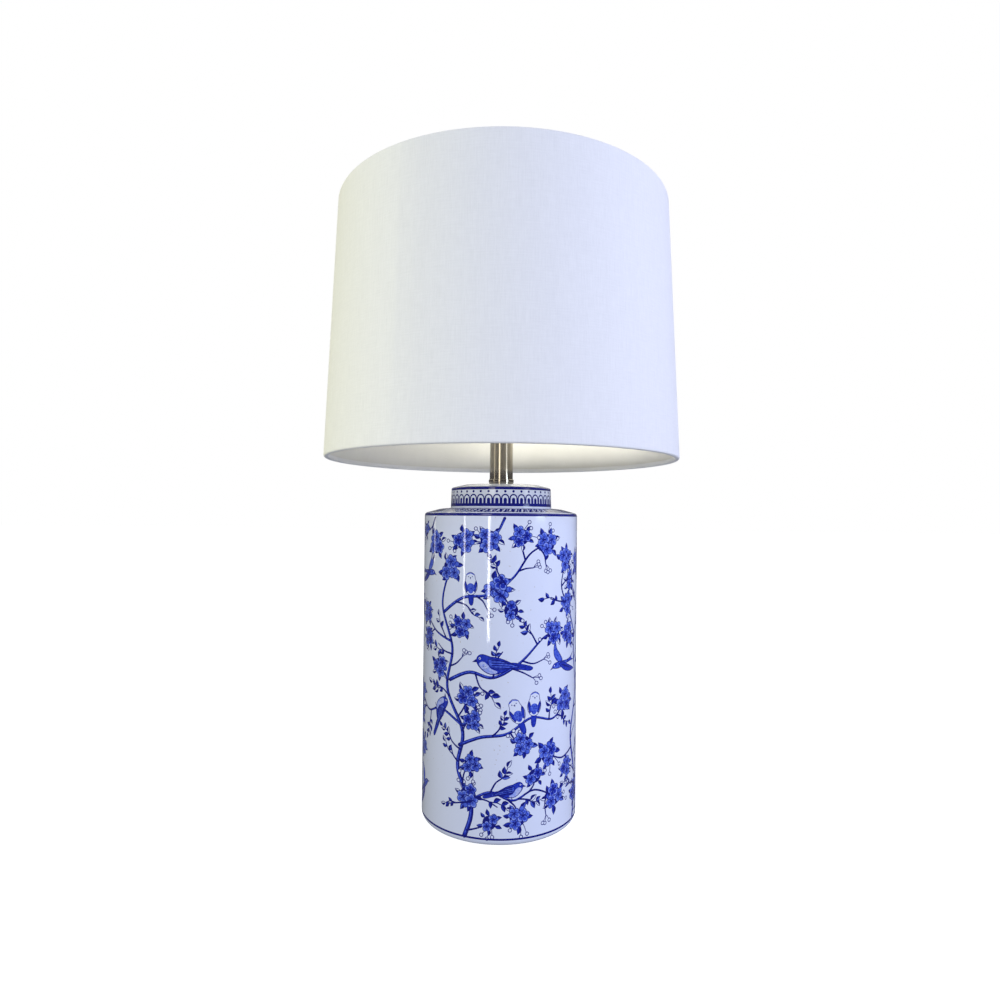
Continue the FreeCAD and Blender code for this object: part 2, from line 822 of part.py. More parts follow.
def make_socket_insulator():
    """Fibre tube between the screw shell and the outer shell."""
    outer = socket_cap_radius - socket_sheet - insulator_clearance
    low = socket_skirt_top_z + shell_insert_clearance + 2 * socket_sheet + insulator_clearance
    sleeve = ring_disc(outer, outer - insulator_thickness, low, shell_top_z - socket_rim_height - low)
    return sleeve.cut(key_slot(key_radius + key_slot_clearance, socket_cap_radius))


def make_socket_body():
    """Moulded switch body with a hole for the key and flats for the terminal screws."""
    body = turned([(0, body_z), (body_radius, body_z, 1.5), (body_radius, body_top_z, 0.6), (0, body_top_z)])
    hole = Part.makeCylinder(
        key_radius + key_hole_clearance, body_radius + 1,
        FreeCAD.Vector(0, key_root_depth - body_radius + key_hole_clearance, key_z), FreeCAD.Vector(0, -1, 0),
    )
    body = body.cut(hole)
    flat = body_radius - terminal_length
    for x in (flat, -body_radius):
        corner = FreeCAD.Vector(x, -terminal_pocket_width / 2, body_z)
        body = body.cut(Part.makeBox(terminal_length, terminal_pocket_width, terminal_pocket_height, corner))
    return body


def make_terminal_screws():
    """The two slotted screws that hold the wires, one on each flat of the socket body."""
    flat = body_radius - terminal_length
    screw_z = body_z + terminal_pocket_height / 2
    screws = []
    for side in SIDES.values():
        seat = FreeCAD.Vector(side * flat, 0, screw_z)
        face = seat + FreeCAD.Vector(side * terminal_head_height, 0, 0)
        head = rod_between(seat, face, terminal_radius)
        slot = Part.makeBox(
            terminal_head_height, 2 * terminal_radius, screw_slot_width,
            face - FreeCAD.Vector(terminal_head_height / 2, terminal_radius, screw_slot_width / 2),
        )
        screws.append(head.cut(slot))
    return Part.makeCompound(screws)


def make_socket_screw_shell():
    """Brass screw shell on the socket body; the bulb's cap goes into it."""
    inner = bulb_cap_radius + bulb_cap_clearance
    outer = inner + screw_shell_wall
    top = body_top_z + screw_shell_height
    return turned(
        [
            (contact_radius + 2.5, body_top_z),
            (outer, body_top_z, 0.5),
            (outer, top),
            (inner, top),
            (inner, body_top_z + screw_shell_foot),
            (contact_radius + 2.5, body_top_z + screw_shell_foot),
        ]
    )


def make_socket_contact():
    """Domed centre contact in the bottom of the socket."""
    return turned(
        [
            (0, body_top_z),
            (contact_radius, body_top_z),
            (contact_radius, contact_top_z, 0.8),
            (0, contact_top_z),
        ]
    )


# ---------------------------------------------------------------- switch
def make_switch_key():
    """Round key of the rotary switch, from inside the socket body to inside the knob."""
    root = FreeCAD.Vector(0, key_root_depth - body_radius, key_z)
    end = FreeCAD.Vector(0, -socket_cap_radius - key_reach, key_z)
    return rod_between(root, end, key_radius)


def make_switch_knob():
    """Fluted knob on the key, bored for it."""
    near_y = socket_cap_radius + knob_gap
    knob = turned(
        [
            (0, near_y),
            (knob_radius - 1.2, near_y, 0.3),
            (knob_radius, near_y + 2.0, 0.6),
            (knob_radius, near_y + knob_length, knob_dome),
            (0, near_y + knob_length),
        ]
    )
    for i in range(knob_flutes):
        angle = math.radians(i * 360 / knob_flutes)
        place = FreeCAD.Vector(knob_radius * math.cos(angle), knob_radius * math.sin(angle), near_y + 2.6)
        knob = knob.cut(Part.makeCylinder(knob_flute_radius, knob_length, place))
    knob.rotate(ORIGIN, FreeCAD.Vector(1, 0, 0), 90)
    knob.translate(FreeCAD.Vector(0, 0, key_z))
    mouth = FreeCAD.Vector(0, -socket_cap_radius, key_z)
    end = FreeCAD.Vector(0, -socket_cap_radius - key_reach, key_z)
    return knob.cut(rod_between(mouth, end, key_radius + knob_bore_clearance))


# ---------------------------------------------------------------- bulb
def bulb_form(inset):
    """The pear of the bulb, or the hollow inside it, at a distance inside the glass's outer face."""
    neck = bulb_neck_radius - inset
    wide = bulb_radius - inset
    top = bulb_top_z - inset
    low = bulb_cap_top_z - 3.0
    neck_end_z = bulb_cap_top_z + bulb_neck_length
    return turned(
        [
            (0, low),
            (neck, low),
            (neck, neck_end_z, 26.0 + inset),
            (wide, neck_end_z + 1.35 * (bulb_radius - bulb_neck_radius), 20.0 - inset),
            (wide, top, wide - 0.1),
            (0, top),
        ]
    )


def make_bulb_glass():
    """Hollow glass pear, open at the neck inside the screw cap."""
    return bulb_form(0.0).cut(bulb_form(bulb_glass_wall))


def make_bulb_cap():
    """Metal screw cap of the bulb, rolled in at its foot."""
    inner = bulb_cap_radius - bulb_cap_wall
    return turned(
        [
            (inner, bulb_cap_z),
            (bulb_cap_radius, bulb_cap_z, 0.1),
            (bulb_cap_radius, bulb_cap_top_z, 0.1),
            (inner, bulb_cap_top_z),
        ]
    )


def make_bulb_insulator():
    """Glass insulator that closes the foot of the screw cap, tapered down to the tip."""
    inner = bulb_cap_radius - bulb_cap_wall
    return turned(
        [
            (0, bulb_insulator_z),
            (bulb_insulator_bottom_radius, bulb_insulator_z, 0.6),
            (bulb_cap_radius - 1.0, bulb_cap_z, 0.4),
            (inner, bulb_cap_z),
            (inner, bulb_cap_z + 1.5),
            (0, bulb_cap_z + 1.5),
        ]
    )


def make_bulb_contact():
    """Solder tip under the insulator."""
    return turned(
        [
            (0, bulb_tip_z),
            (bulb_tip_radius, bulb_tip_z, 0.6),
            (bulb_tip_radius, bulb_insulator_z),
            (0, bulb_insulator_z),
        ]
    )


# ---------------------------------------------------------------- all pieces
def make_all():
    """Every piece of the lamp by its name, from the table upwards."""
    jar = make_ginger_jar()
    base_washer = ring_disc(base_washer_diameter / 2, rod_hole_radius, base_washer_z, base_washer_thickness)
    pieces = {
        "felt_pad": make_felt_pad(),
        "ginger_jar": jar,
        "cord_bushing": make_cord_bushing(jar),
        "base_nut": make_base_nut(),
        "base_lock_washer": make_lock_washer(),
        "base_washer": base_washer,
        "lamp_rod": make_lamp_rod(),
        "jar_lid": make_jar_lid(),
        "neck_collar": make_neck_collar(),
        "neck_tube": make_neck_tube(),
        "neck_cap": make_neck_cap(),
        "harp_saddle": make_harp_saddle(),
        "saddle_washer": ring_disc(
            saddle_washer_diameter / 2, rod_hole_radius, saddle_top_z, saddle_washer_thickness
        ),
        "harp": make_harp(),
        "swivel_stud": make_swivel_stud(),
        "finial": make_finial(),
        "shade_spider": make_shade_spider(),
        "shade_top_ring": make_shade_ring(top_ring_z),
        "shade_bottom_ring": make_shade_ring(bottom_ring_z),
        "shade_liner": make_shade_liner(),
        "shade_linen": make_shade_linen(),
        "socket_cap": make_socket_cap(),
        "socket_set_screw": make_socket_set_screw(),
        "socket_shell": make_socket_shell(),
        "socket_insulator": make_socket_insulator(),
        "socket_body": make_socket_body(),
        "terminal_screws": make_terminal_screws(),
        "socket_screw_shell": make_socket_screw_shell(),
        "socket_contact": make_socket_contact(),
        "switch_key": make_switch_key(),
        "switch_knob": make_switch_knob(),
        "bulb_glass": make_bulb_glass(),
        "bulb_cap": make_bulb_cap(),
        "bulb_insulator": make_bulb_insulator(),
        "bulb_contact": make_bulb_contact(),
    }
    for side in SIDES:
        pieces[f"harp_sleeve_{side}"] = make_harp_sleeve(side)
    return pieces


def write_steps(pieces):
    """One STEP file per piece, with a line for each that says its solids, volume and height."""
    os.makedirs("parts", exist_ok=True)
    for name, shape in pieces.items():
        shape.exportStep(f"parts/{name}.step")
        box = shape.BoundBox
        print(
            f"{name}: solids {len(shape.Solids)}, valid {shape.isValid()}, volume {shape.Volume:.1f} mm3, "
            f"z {box.ZMin:.2f} to {box.ZMax:.2f}"
        )


write_steps(make_all())
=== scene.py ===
"""Looks of a table lamp on a painted ginger jar, built round its CAD frame.

Blender works in metres, and outlines and paintings are laid out here in millimetres. The lamp stands on
the origin with +Z up, and its front faces -Y. Turned pieces share one kind of mesh: an outline of radius
and height, turned about Z. The jar and its lid are painted: patches of cobalt are drawn on the unrolled
surface, cut into it as real edges, and mapped back, so each stroke stays sharp at any distance.
"""

from __future__ import annotations

import functools
import json
import logging
import math
import random
from collections.abc import Sequence
from dataclasses import dataclass, field
from enum import Enum

import bmesh
import bpy
import numpy as np
from mathutils import Matrix, Vector
from mathutils.geometry import delaunay_2d_cdt

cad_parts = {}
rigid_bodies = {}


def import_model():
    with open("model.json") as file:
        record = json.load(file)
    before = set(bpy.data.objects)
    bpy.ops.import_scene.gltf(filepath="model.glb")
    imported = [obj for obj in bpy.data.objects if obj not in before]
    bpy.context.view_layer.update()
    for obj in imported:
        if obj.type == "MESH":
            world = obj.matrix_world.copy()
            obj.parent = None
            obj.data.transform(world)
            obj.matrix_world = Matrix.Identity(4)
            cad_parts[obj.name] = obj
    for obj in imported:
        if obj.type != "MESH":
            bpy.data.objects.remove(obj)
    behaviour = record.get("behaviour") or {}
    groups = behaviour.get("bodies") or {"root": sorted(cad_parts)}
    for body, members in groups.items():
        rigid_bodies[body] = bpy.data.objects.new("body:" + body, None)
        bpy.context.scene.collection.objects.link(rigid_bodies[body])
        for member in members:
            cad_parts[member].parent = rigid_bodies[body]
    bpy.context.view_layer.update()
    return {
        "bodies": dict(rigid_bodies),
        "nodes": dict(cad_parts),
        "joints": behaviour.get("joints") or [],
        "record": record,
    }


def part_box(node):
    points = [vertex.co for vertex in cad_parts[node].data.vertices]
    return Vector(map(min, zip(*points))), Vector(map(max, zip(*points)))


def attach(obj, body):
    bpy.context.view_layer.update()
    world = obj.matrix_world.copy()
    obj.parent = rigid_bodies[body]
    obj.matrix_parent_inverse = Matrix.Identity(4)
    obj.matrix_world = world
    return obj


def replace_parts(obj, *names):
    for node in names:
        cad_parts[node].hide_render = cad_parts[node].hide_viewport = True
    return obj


log = logging.getLogger("ginger_jar_lamp")

MM = 0.001

Point = tuple[float, float]
Colour = tuple[float, float, float]
Row = tuple[float, ...]


# --- finishes
class Slot(Enum):
    """Material slots of the record."""

    PORCELAIN = "porcelain"
    FELT = "felt"
    SATIN_NICKEL = "satin_nickel"
    PLATED_STEEL = "plated_steel"
    BRASS = "brass"
    WHITE_PLASTIC = "white_plastic"
    BLACK_PHENOLIC = "black_phenolic"
    FIBRE = "fibre"
    WHITE_WIRE = "white_wire"
    SHADE_LINER = "shade_liner"
    LINEN = "linen"
    BULB_GLASS = "bulb_glass"
    BULB_METAL = "bulb_metal"
    BLACK_GLASS = "black_glass"
    SOLDER = "solder"


@dataclass(frozen=True)
class Finish:
    """Constant values of a surface, set on the shader's own sockets."""

    colour: Colour
    roughness: float
    metallic: float = 0.0
    coat: float = 0.0
    sheen: float = 0.0
    glow: float = 0.0

    def dress(self, tree: ShaderTree) -> None:
        """Adds what varies over the surface, which on a plain finish is nothing."""


# --- node trees
class TreeBuilder:
    """Adds nodes to a node tree: a node's settings come first, and then its sockets.

    Args:
        tree: the node tree that is filled.
    """

    def __init__(self, tree: bpy.types.NodeTree) -> None:
        """Keeps the tree."""
        self.tree = tree

    def node(
        self, kind: str, settings: dict[str, object] | None = None,
        values: dict[str | int, object] | None = None,
    ) -> bpy.types.Node:
        """Adds a node.

        Args:
            kind: the node's type.
            settings: its own settings, such as a Math node's operation.
            values: constants or links for its sockets, by name or number.

        Returns:
            The new node.
        """
        node = self.tree.nodes.new(kind)
        for name, value in (settings or {}).items():
            setattr(node, name, value)
        for name, value in (values or {}).items():
            self.feed(node.inputs[name], value)
        return node

    def feed(self, socket: bpy.types.NodeSocket, value: object) -> None:
        """Links a socket or a wrapped value, or sets a constant.

        Args:
            socket: the socket that is fed.
            value: a socket, a wrapped socket or a constant.
        """
        source = getattr(value, "socket", value)
        if isinstance(source, bpy.types.NodeSocket):
            self.tree.links.new(source, socket)
        elif socket.type == "RGBA":
            socket.default_value = (*source, 1.0)
        else:
            socket.default_value = source


@dataclass
class Wrapped:
    """A socket of a shader tree."""

    tree: ShaderTree
    socket: bpy.types.NodeSocket


class Num(Wrapped):
    """A float socket, usable in sums and products."""

    def __add__(self, other: Num | float) -> Num:
        """Sum, with the number on either side."""
        return self.tree.math("ADD", self, other)

    __radd__ = __add__

    def __sub__(self, other: Num | float) -> Num:
        """Difference."""
        return self.tree.math("SUBTRACT", self, other)

    def __rsub__(self, other: float) -> Num:
        """Difference from a number."""
        return self.tree.math("SUBTRACT", other, self)

    def __mul__(self, other: Num | float) -> Num:
        """Product, with the number on either side."""
        return self.tree.math("MULTIPLY", self, other)

    __rmul__ = __mul__

    def __abs__(self) -> Num:
        """Absolute value."""
        return self.tree.math("ABSOLUTE", self)

    def sine(self) -> Num:
        """Sine of the value in radians."""
        return self.tree.math("SINE", self)

    def between(self, low: float, high: float) -> Num:
        """0 below low, 1 above high, eased between them.

        Args:
            low: value that gives 0.
            high: value that gives 1.

        Returns:
            The eased value.
        """
        ramp = self.tree.node(
            "ShaderNodeMapRange",
            {"interpolation_type": "SMOOTHSTEP"},
            {"Value": self, "From Min": low, "From Max": high},
        )
        return Num(self.tree, ramp.outputs["Result"])


class Vec(Wrapped):
    """A vector or colour socket, usable in sums and products."""

    def __mul__(self, other: Colour | float) -> Vec:
        """Product, part by part, with the number or the three numbers on either side."""
        scale = (other, other, other) if isinstance(other, (int, float)) else other
        return self.tree.vector_math("MULTIPLY", self, scale)

    __rmul__ = __mul__

    def __add__(self, other: Vec | Colour) -> Vec:
        """Sum, part by part."""
        return self.tree.vector_math("ADD", self, other)

    def parts(self) -> tuple[Num, Num, Num]:
        """The three components.

        Returns:
            X, Y and Z.
        """
        split = self.tree.node("ShaderNodeSeparateXYZ", values={0: self})
        x, y, z = (Num(self.tree, out) for out in split.outputs)
        return x, y, z


class ShaderTree(TreeBuilder):
    """Builds one material's node tree round a Principled shader.

    Args:
        name: the material's name.
        finish: constant values for the shader's own sockets.
    """

    def __init__(self, name: str, finish: Finish) -> None:
        """Makes the material and sets its constants."""
        self.material = bpy.data.materials.new(name)
        self.material.use_nodes = True
        super().__init__(self.material.node_tree)
        self.shader = next(n for n in self.tree.nodes if n.type == "BSDF_PRINCIPLED")
        constants = {
            "Base Color": finish.colour,
            "Roughness": finish.roughness,
            "Metallic": finish.metallic,
            "Coat Weight": finish.coat,
            "Coat Roughness": 0.03,
            "Sheen Weight": finish.sheen,
            "Emission Color": finish.colour,
            "Emission Strength": finish.glow,
        }
        for socket, value in constants.items():
            self.feed(self.shader.inputs[socket], value)

    def math(self, operation: str, *values: Num | float) -> Num:
        """A Math node over one or two values."""
        node = self.node("ShaderNodeMath", {"operation": operation}, dict(enumerate(values)))
        return Num(self, node.outputs[0])

    def vector_math(self, operation: str, *values: Vec | Colour) -> Vec:
        """A Vector Math node over one or two vectors."""
        node = self.node("ShaderNodeVectorMath", {"operation": operation}, dict(enumerate(values)))
        return Vec(self, node.outputs[0])

    def place(self) -> Vec:
        """Object coordinates in millimetres."""
        return Vec(self, self.node("ShaderNodeTexCoord").outputs["Object"]) * (1 / MM)

    def strength(self, attribute: str) -> Num:
        """A number kept on the mesh."""
        node = self.node("ShaderNodeAttribute", {"attribute_name": attribute})
        return Num(self, node.outputs["Fac"])

    def layout(self, attribute: str) -> Vec:
        """A vector kept on the mesh."""
        node = self.node("ShaderNodeAttribute", {"attribute_name": attribute})
        return Vec(self, node.outputs["Vector"])

    def noise(self, place: Vec, scale: float, detail: float = 2.0, roughness: float = 0.5) -> Num:
        """Noise from 0 to 1, with scale in cycles a millimetre."""
        values = {"Vector": place, "Scale": scale, "Detail": detail, "Roughness": roughness}
        return Num(self, self.node("ShaderNodeTexNoise", values=values).outputs["Fac"])

    def mixed(self, factor: Num | float, first: Vec | Colour, second: Vec | Colour) -> Vec:
        """A colour between two colours."""
        values = {"Factor": factor, 6: first, 7: second}
        return Vec(self, self.node("ShaderNodeMix", {"data_type": "RGBA"}, values).outputs[2])

    def paint(self, socket: str, value: Num | Vec) -> None:
        """Feeds one of the Principled shader's sockets."""
        self.feed(self.shader.inputs[socket], value)

    def relief(self, height: Num, depth_mm: float) -> None:
        """Bumps the surface by a height from 0 to 1 that stands for depth_mm."""
        values = {"Strength": 1.0, "Distance": depth_mm * MM, "Height": height}
        self.feed(self.shader.inputs["Normal"], self.node("ShaderNodeBump", values=values).outputs["Normal"])


# --- materials
def shaded(colour: Colour, share: float) -> Colour:
    """A colour made darker, or brighter where the share is over 1."""
    return tuple(min(1.0, part * share) for part in colour)


@dataclass(frozen=True)
class Porcelain(Finish):
    """White glaze over cobalt painting, whose strength is the mesh attribute 'cobalt'."""

    white: Colour = (0.69, 0.735, 0.85)
    drifted: Colour = (0.66, 0.705, 0.83)
    speck: Colour = (0.42, 0.36, 0.30)
    wash: Colour = (0.11, 0.19, 0.72)
    cobalt: Colour = (0.012, 0.034, 0.44)
    ink: Colour = (0.002, 0.005, 0.16)

    def dress(self, tree: ShaderTree) -> None:
        """Floats the painting under the glaze, with pooling, firing specks and a faint ripple.

        Args:
            tree: the material's node tree.
        """
        place = tree.place()
        strength = tree.strength("cobalt")
        pooling = tree.noise(place, 0.42, 3.0) - 0.5
        grain = tree.noise(place, 1.7, 2.0) - 0.5
        tone = strength + strength * (1.0 - strength) * (pooling * 2.6 + grain * 0.8)
        drift = tree.noise(place, 0.012, 1.0)
        specks = tree.noise(place, 0.55, 0.0).between(0.815, 0.85)
        ground = tree.mixed(specks * 0.5, tree.mixed(drift, self.white, self.drifted), self.speck)
        washed = tree.mixed(tone.between(0.0, 0.5), ground, self.wash)
        deep = tree.mixed(tone.between(0.36, 0.76), washed, self.cobalt)
        tree.paint("Base Color", tree.mixed(tone.between(0.70, 0.95), deep, self.ink))
        ripple = tree.noise(place, 0.03, 1.0) + tree.noise(place, 0.25, 2.0) * 0.03
        tree.relief(ripple, 0.35)
        tree.paint("Roughness", self.roughness + grain * 0.03)


@dataclass(frozen=True)
class Linen(Finish):
    """Plain weave with uneven threads and slubs, laid along the attribute 'lay' (around, along, 0)."""

    pitch: float = 0.78

    def dress(self, tree: ShaderTree) -> None:
        """Crosses warp and weft, lets some threads thicken, and paints shade into the low gaps between
        threads.

        Args:
            tree: the material's node tree.
        """
        lay = tree.layout("lay")
        sway = (tree.noise(lay, 0.06, 2.0) - 0.5) * 1.6
        around, along, _ = lay.parts()
        warp_wave = ((around + sway) * (math.pi / self.pitch)).sine()
        weft_wave = ((along + sway) * (math.pi / self.pitch)).sine()
        over = (warp_wave * weft_wave).between(-0.35, 0.35)
        cloth = abs(warp_wave) * over + abs(weft_wave) * (1.0 - over)
        warp_slub = tree.noise(lay * (0.8, 0.06, 1.0), 1.0, 3.0, 0.6) - 0.5
        weft_slub = tree.noise(lay * (0.06, 0.8, 1.0), 1.0, 3.0, 0.6) - 0.5
        broad = tree.noise(lay * (0.16, 0.012, 1.0), 1.0, 2.0) - 0.5
        tree.relief(cloth * 0.6 + (warp_slub + weft_slub) * 0.6, 0.14)
        # Painted shade: the (cloth - 0.6) term darkens the colour where the weave sits low between threads;
        # the slubs and broad streaks are random tone.
        fleck = warp_slub * 0.62 + weft_slub * 0.45 + broad * 0.16 + (cloth - 0.6) * 0.3
        tree.paint("Base Color", tree.mixed(fleck + 0.5, shaded(self.colour, 0.88), shaded(self.colour, 1.1)))


@dataclass(frozen=True)
class Liner(Finish):
    """Matt backing sheet, with a faint mottling and the cloth's threads showing through."""

    dark: Colour = (0.66, 0.65, 0.61)
    bright: Colour = (0.78, 0.77, 0.73)

    def dress(self, tree: ShaderTree) -> None:
        """Mottles the sheet and raises the threads a little.

        Args:
            tree: the material's node tree.
        """
        place = tree.place()
        mottle = tree.noise(place, 0.05, 3.0)
        threads = tree.noise(place * (0.3, 0.3, 2.2), 1.0, 2.0)
        tree.paint("Base Color", tree.mixed(mottle * 0.5 + threads * 0.4, self.dark, self.bright))
        tree.relief(threads, 0.04)


@dataclass(frozen=True)
class TurnedMetal(Finish):
    """Metal with fine lines round the Z axis, as left by turning or brushing."""

    metallic: float = 1.0
    lines: float = 3.0
    spread: float = 0.14

    def dress(self, tree: ShaderTree) -> None:
        """Draws the lines and smears the polish.

        Args:
            tree: the material's node tree.
        """
        place = tree.place()
        _, _, height = place.parts()
        waviness = tree.noise(place, 0.08, 1.0) * 0.2
        lines = tree.noise(place * (0.05, 0.05, self.lines), 1.0, 3.0, 0.7)
        smear = tree.noise(place, 0.11, 3.0)
        uneven = (smear - 0.5) * self.spread
        tree.paint("Roughness", self.roughness + uneven + (lines - 0.5) * self.spread * 0.6)
        wear = (height * 0.02 + waviness + smear).between(0.5, 1.6)
        tree.paint("Base Color", tree.mixed(wear * 0.5, self.colour, shaded(self.colour, 0.82)))
        tree.relief(lines, 0.004)


@dataclass(frozen=True)
class Grained(Finish):
    """Plain moulded, enamelled or pressed surface with its own grain."""

    grain: float = 1.0
    depth_mm: float = 0.01
    tint: float = 0.05

    def dress(self, tree: ShaderTree) -> None:
        """Tints the grain and raises it.

        Args:
            tree: the material's node tree.
        """
        place = tree.place()
        fine = tree.noise(place, self.grain, 3.0, 0.6)
        broad = tree.noise(place, self.grain * 0.05, 2.0)
        tinted = shaded(self.colour, 1.0 + self.tint)
        tree.paint("Base Color", tree.mixed(fine * 0.6 + broad * 0.4, self.colour, tinted))
        tree.paint("Roughness", self.roughness + (fine - 0.5) * 0.12)
        tree.relief(fine, self.depth_mm)


FINISHES: dict[Slot, Finish] = {
    Slot.PORCELAIN: Porcelain((0.70, 0.72, 0.77), 0.07, coat=0.2),
    Slot.LINEN: Linen((0.80, 0.80, 0.79), 0.9, sheen=0.1),
    Slot.SHADE_LINER: Liner((0.72, 0.71, 0.67), 0.6),
    Slot.SATIN_NICKEL: TurnedMetal((0.47, 0.425, 0.35), 0.09, lines=5.0, spread=0.08),
    Slot.PLATED_STEEL: TurnedMetal((0.62, 0.63, 0.65), 0.32, lines=3.0, spread=0.16),
    Slot.BRASS: TurnedMetal((0.78, 0.57, 0.24), 0.28, lines=4.0, spread=0.14),
    Slot.BULB_METAL: TurnedMetal((0.7, 0.7, 0.71), 0.3, lines=2.0, spread=0.14),
    Slot.SOLDER: TurnedMetal((0.5, 0.5, 0.52), 0.5, lines=1.0, spread=0.2),
    Slot.FELT: Grained((0.02, 0.06, 0.035), 0.95, sheen=0.4, grain=2.5, depth_mm=0.25, tint=0.9),
    Slot.FIBRE: Grained((0.2, 0.18, 0.15), 0.85, grain=1.2, depth_mm=0.08, tint=0.5),
    Slot.WHITE_PLASTIC: Grained((0.78, 0.78, 0.75), 0.4, grain=2.0, depth_mm=0.01, tint=0.03),
    Slot.BLACK_PHENOLIC: Grained((0.018, 0.017, 0.016), 0.35, grain=1.5, depth_mm=0.012, tint=0.5),
    Slot.WHITE_WIRE: Grained((0.8, 0.8, 0.78), 0.35, grain=1.0, depth_mm=0.02, tint=0.05),
    Slot.BULB_GLASS: Grained((0.86, 0.86, 0.84), 0.3, grain=3.0, depth_mm=0.004, tint=0.04),
    Slot.BLACK_GLASS: Grained((0.01, 0.01, 0.015), 0.1, grain=1.0, depth_mm=0.002, tint=0.3),
}


@functools.cache
def material_of(slot: Slot) -> bpy.types.Material:
    """The material of a slot, made when it is first asked for.

    Args:
        slot: the slot.

    Returns:
        Its material.
    """
    finish = FINISHES[slot]
    tree = ShaderTree(slot.value, finish)
    finish.dress(tree)
    log.info("material %s", slot.value)
    return tree.material


# --- turned outlines
@dataclass(frozen=True)
class Corner:
    """A corner of a turned outline, in millimetres, and the radius that rounds it."""

    radius: float
    height: float
    rounding: float = 0.3


class Outline:
    """A closed outline of radius and height, counter-clockwise, with rounded corners.

    Args:
        corners: radius, height and rounding of each, in order, with the material on the left.
        arc_step: greatest angle between two points of a rounding, in degrees.
        longest: greatest distance between two points of a straight run, in millimetres.
    """

    def __init__(self, corners: Sequence[Row], arc_step: float = 10.0, longest: float = 14.0) -> None:
        """Rounds the corners and measures along the outline."""
        corners = [Corner(*corner) for corner in corners]
        rows: list[Row] = []
        count = len(corners)
        for i, corner in enumerate(corners):
            rows.extend(self._rounded(corners[i - 1], corner, corners[(i + 1) % count], arc_step))
        rows.append(rows[0])
        self.rows = self._with_steps(np.array(rows), longest)
        steps = np.hypot(*np.diff(self.rows[:, :2], axis=0).T)
        self.along = np.concatenate([[0.0], np.cumsum(steps)])

    @staticmethod
    def _rounded(before: Corner, corner: Corner, after: Corner, arc_step: float) -> list[Row]:
        """Points of one rounded corner.

        Args:
            before: the corner before it.
            corner: the corner.
            after: the corner after it.
            arc_step: greatest angle between two points, in degrees.

        Returns:
            Rows of radius, height and normal.
        """
        here = Vector((corner.radius, corner.height))
        back = (Vector((before.radius, before.height)) - here).normalized()
        on = (Vector((after.radius, after.height)) - here).normalized()
        half = back.angle(on) / 2
        turn = -1.0 if back.cross(on) > 0 else 1.0
        reach = corner.rounding / math.tan(half)
        centre = here + (back + on).normalized() * (corner.rounding / math.sin(half))
        start = here + back * reach - centre
        sweep = math.pi - 2 * half
        steps = max(2, math.ceil(math.degrees(sweep) / arc_step) + 1)
        rows = []
        for k in range(steps):
            arm = Matrix.Rotation(turn * sweep * k / (steps - 1), 2) @ start
            normal = arm.normalized() * turn
            rows.append((*(centre + arm), *normal))
        return rows

    @staticmethod
    def _with_steps(rows: np.ndarray, longest: float) -> np.ndarray:
        """Divides the longer runs.

        Args:
            rows: rows of radius, height and normal.
            longest: greatest distance between two rows.

        Returns:
            All rows.
        """
        fine = [rows[0]]
        for here, there in zip(rows[:-1], rows[1:]):
            gap = float(np.hypot(*(there - here)[:2]))
            if gap < 1e-6:
                continue
            parts = max(1, math.ceil(gap / longest))
            fine.extend(here + (there - here) * k / parts for k in range(1, parts + 1))
        return np.array(fine)

    def at(self, along: np.ndarray) -> np.ndarray:
        """Radius, height and normal at distances along the outline."""
        return np.stack([np.interp(along, self.along, self.rows[:, k]) for k in range(4)], axis=1)

    def along_at_height(self, height: float) -> float:
        """Distance along the outline where its first climb reaches a height.

        Args:
            height: the height.

        Returns:
            The distance.
        """
        top = int(np.argmax(self.rows[:, 1] >= self.rows[:, 1].max() - 1e-4))
        climb = slice(int(np.argmin(self.rows[: top + 1, 1])), top + 1)
        return float(np.interp(height, self.rows[climb, 1], self.along[climb]))

    def along_at_radius(self, radius: float, low: float, high: float) -> float:
        """Distance along the outline, between two distances, where it comes inward to a radius."""
        part = (self.along >= low) & (self.along <= high)
        return float(np.interp(-radius, -self.rows[part, 0], self.along[part]))


@dataclass
class Sheet:
    """Triangles on the unrolled surface of a turned piece, with one painted tone each.

    Args:
        points: distance round the girth and distance along the outline, in millimetres.
        triangles: three indices each, counter-clockwise seen from outside.
        tones: strength of the cobalt, from 0 to 1.
    """

    points: np.ndarray
    triangles: np.ndarray
    tones: np.ndarray


def plain_sheet(outline: Outline, girth: float, columns: int) -> Sheet:
    """An unpainted grid over the whole outline.

    Args:
        outline: the outline that is turned.
        girth: length of the unrolled surface round the piece, in millimetres.
        columns: columns of the grid round the piece.

    Returns:
        The grid.
    """
    across = np.linspace(-girth / 2, girth / 2, columns + 1)
    grid = np.stack(np.meshgrid(across, outline.along), axis=-1).reshape(-1, 2)
    rows = len(outline.along) - 1
    low = (np.arange(rows)[:, None] * (columns + 1) + np.arange(columns)[None, :]).ravel()
    high = low + columns + 1
    faces = np.concatenate(
        [np.stack([low, low + 1, high + 1], axis=1), np.stack([low, high + 1, high], axis=1)]
    )
    return Sheet(grid, faces, np.zeros(len(faces)))


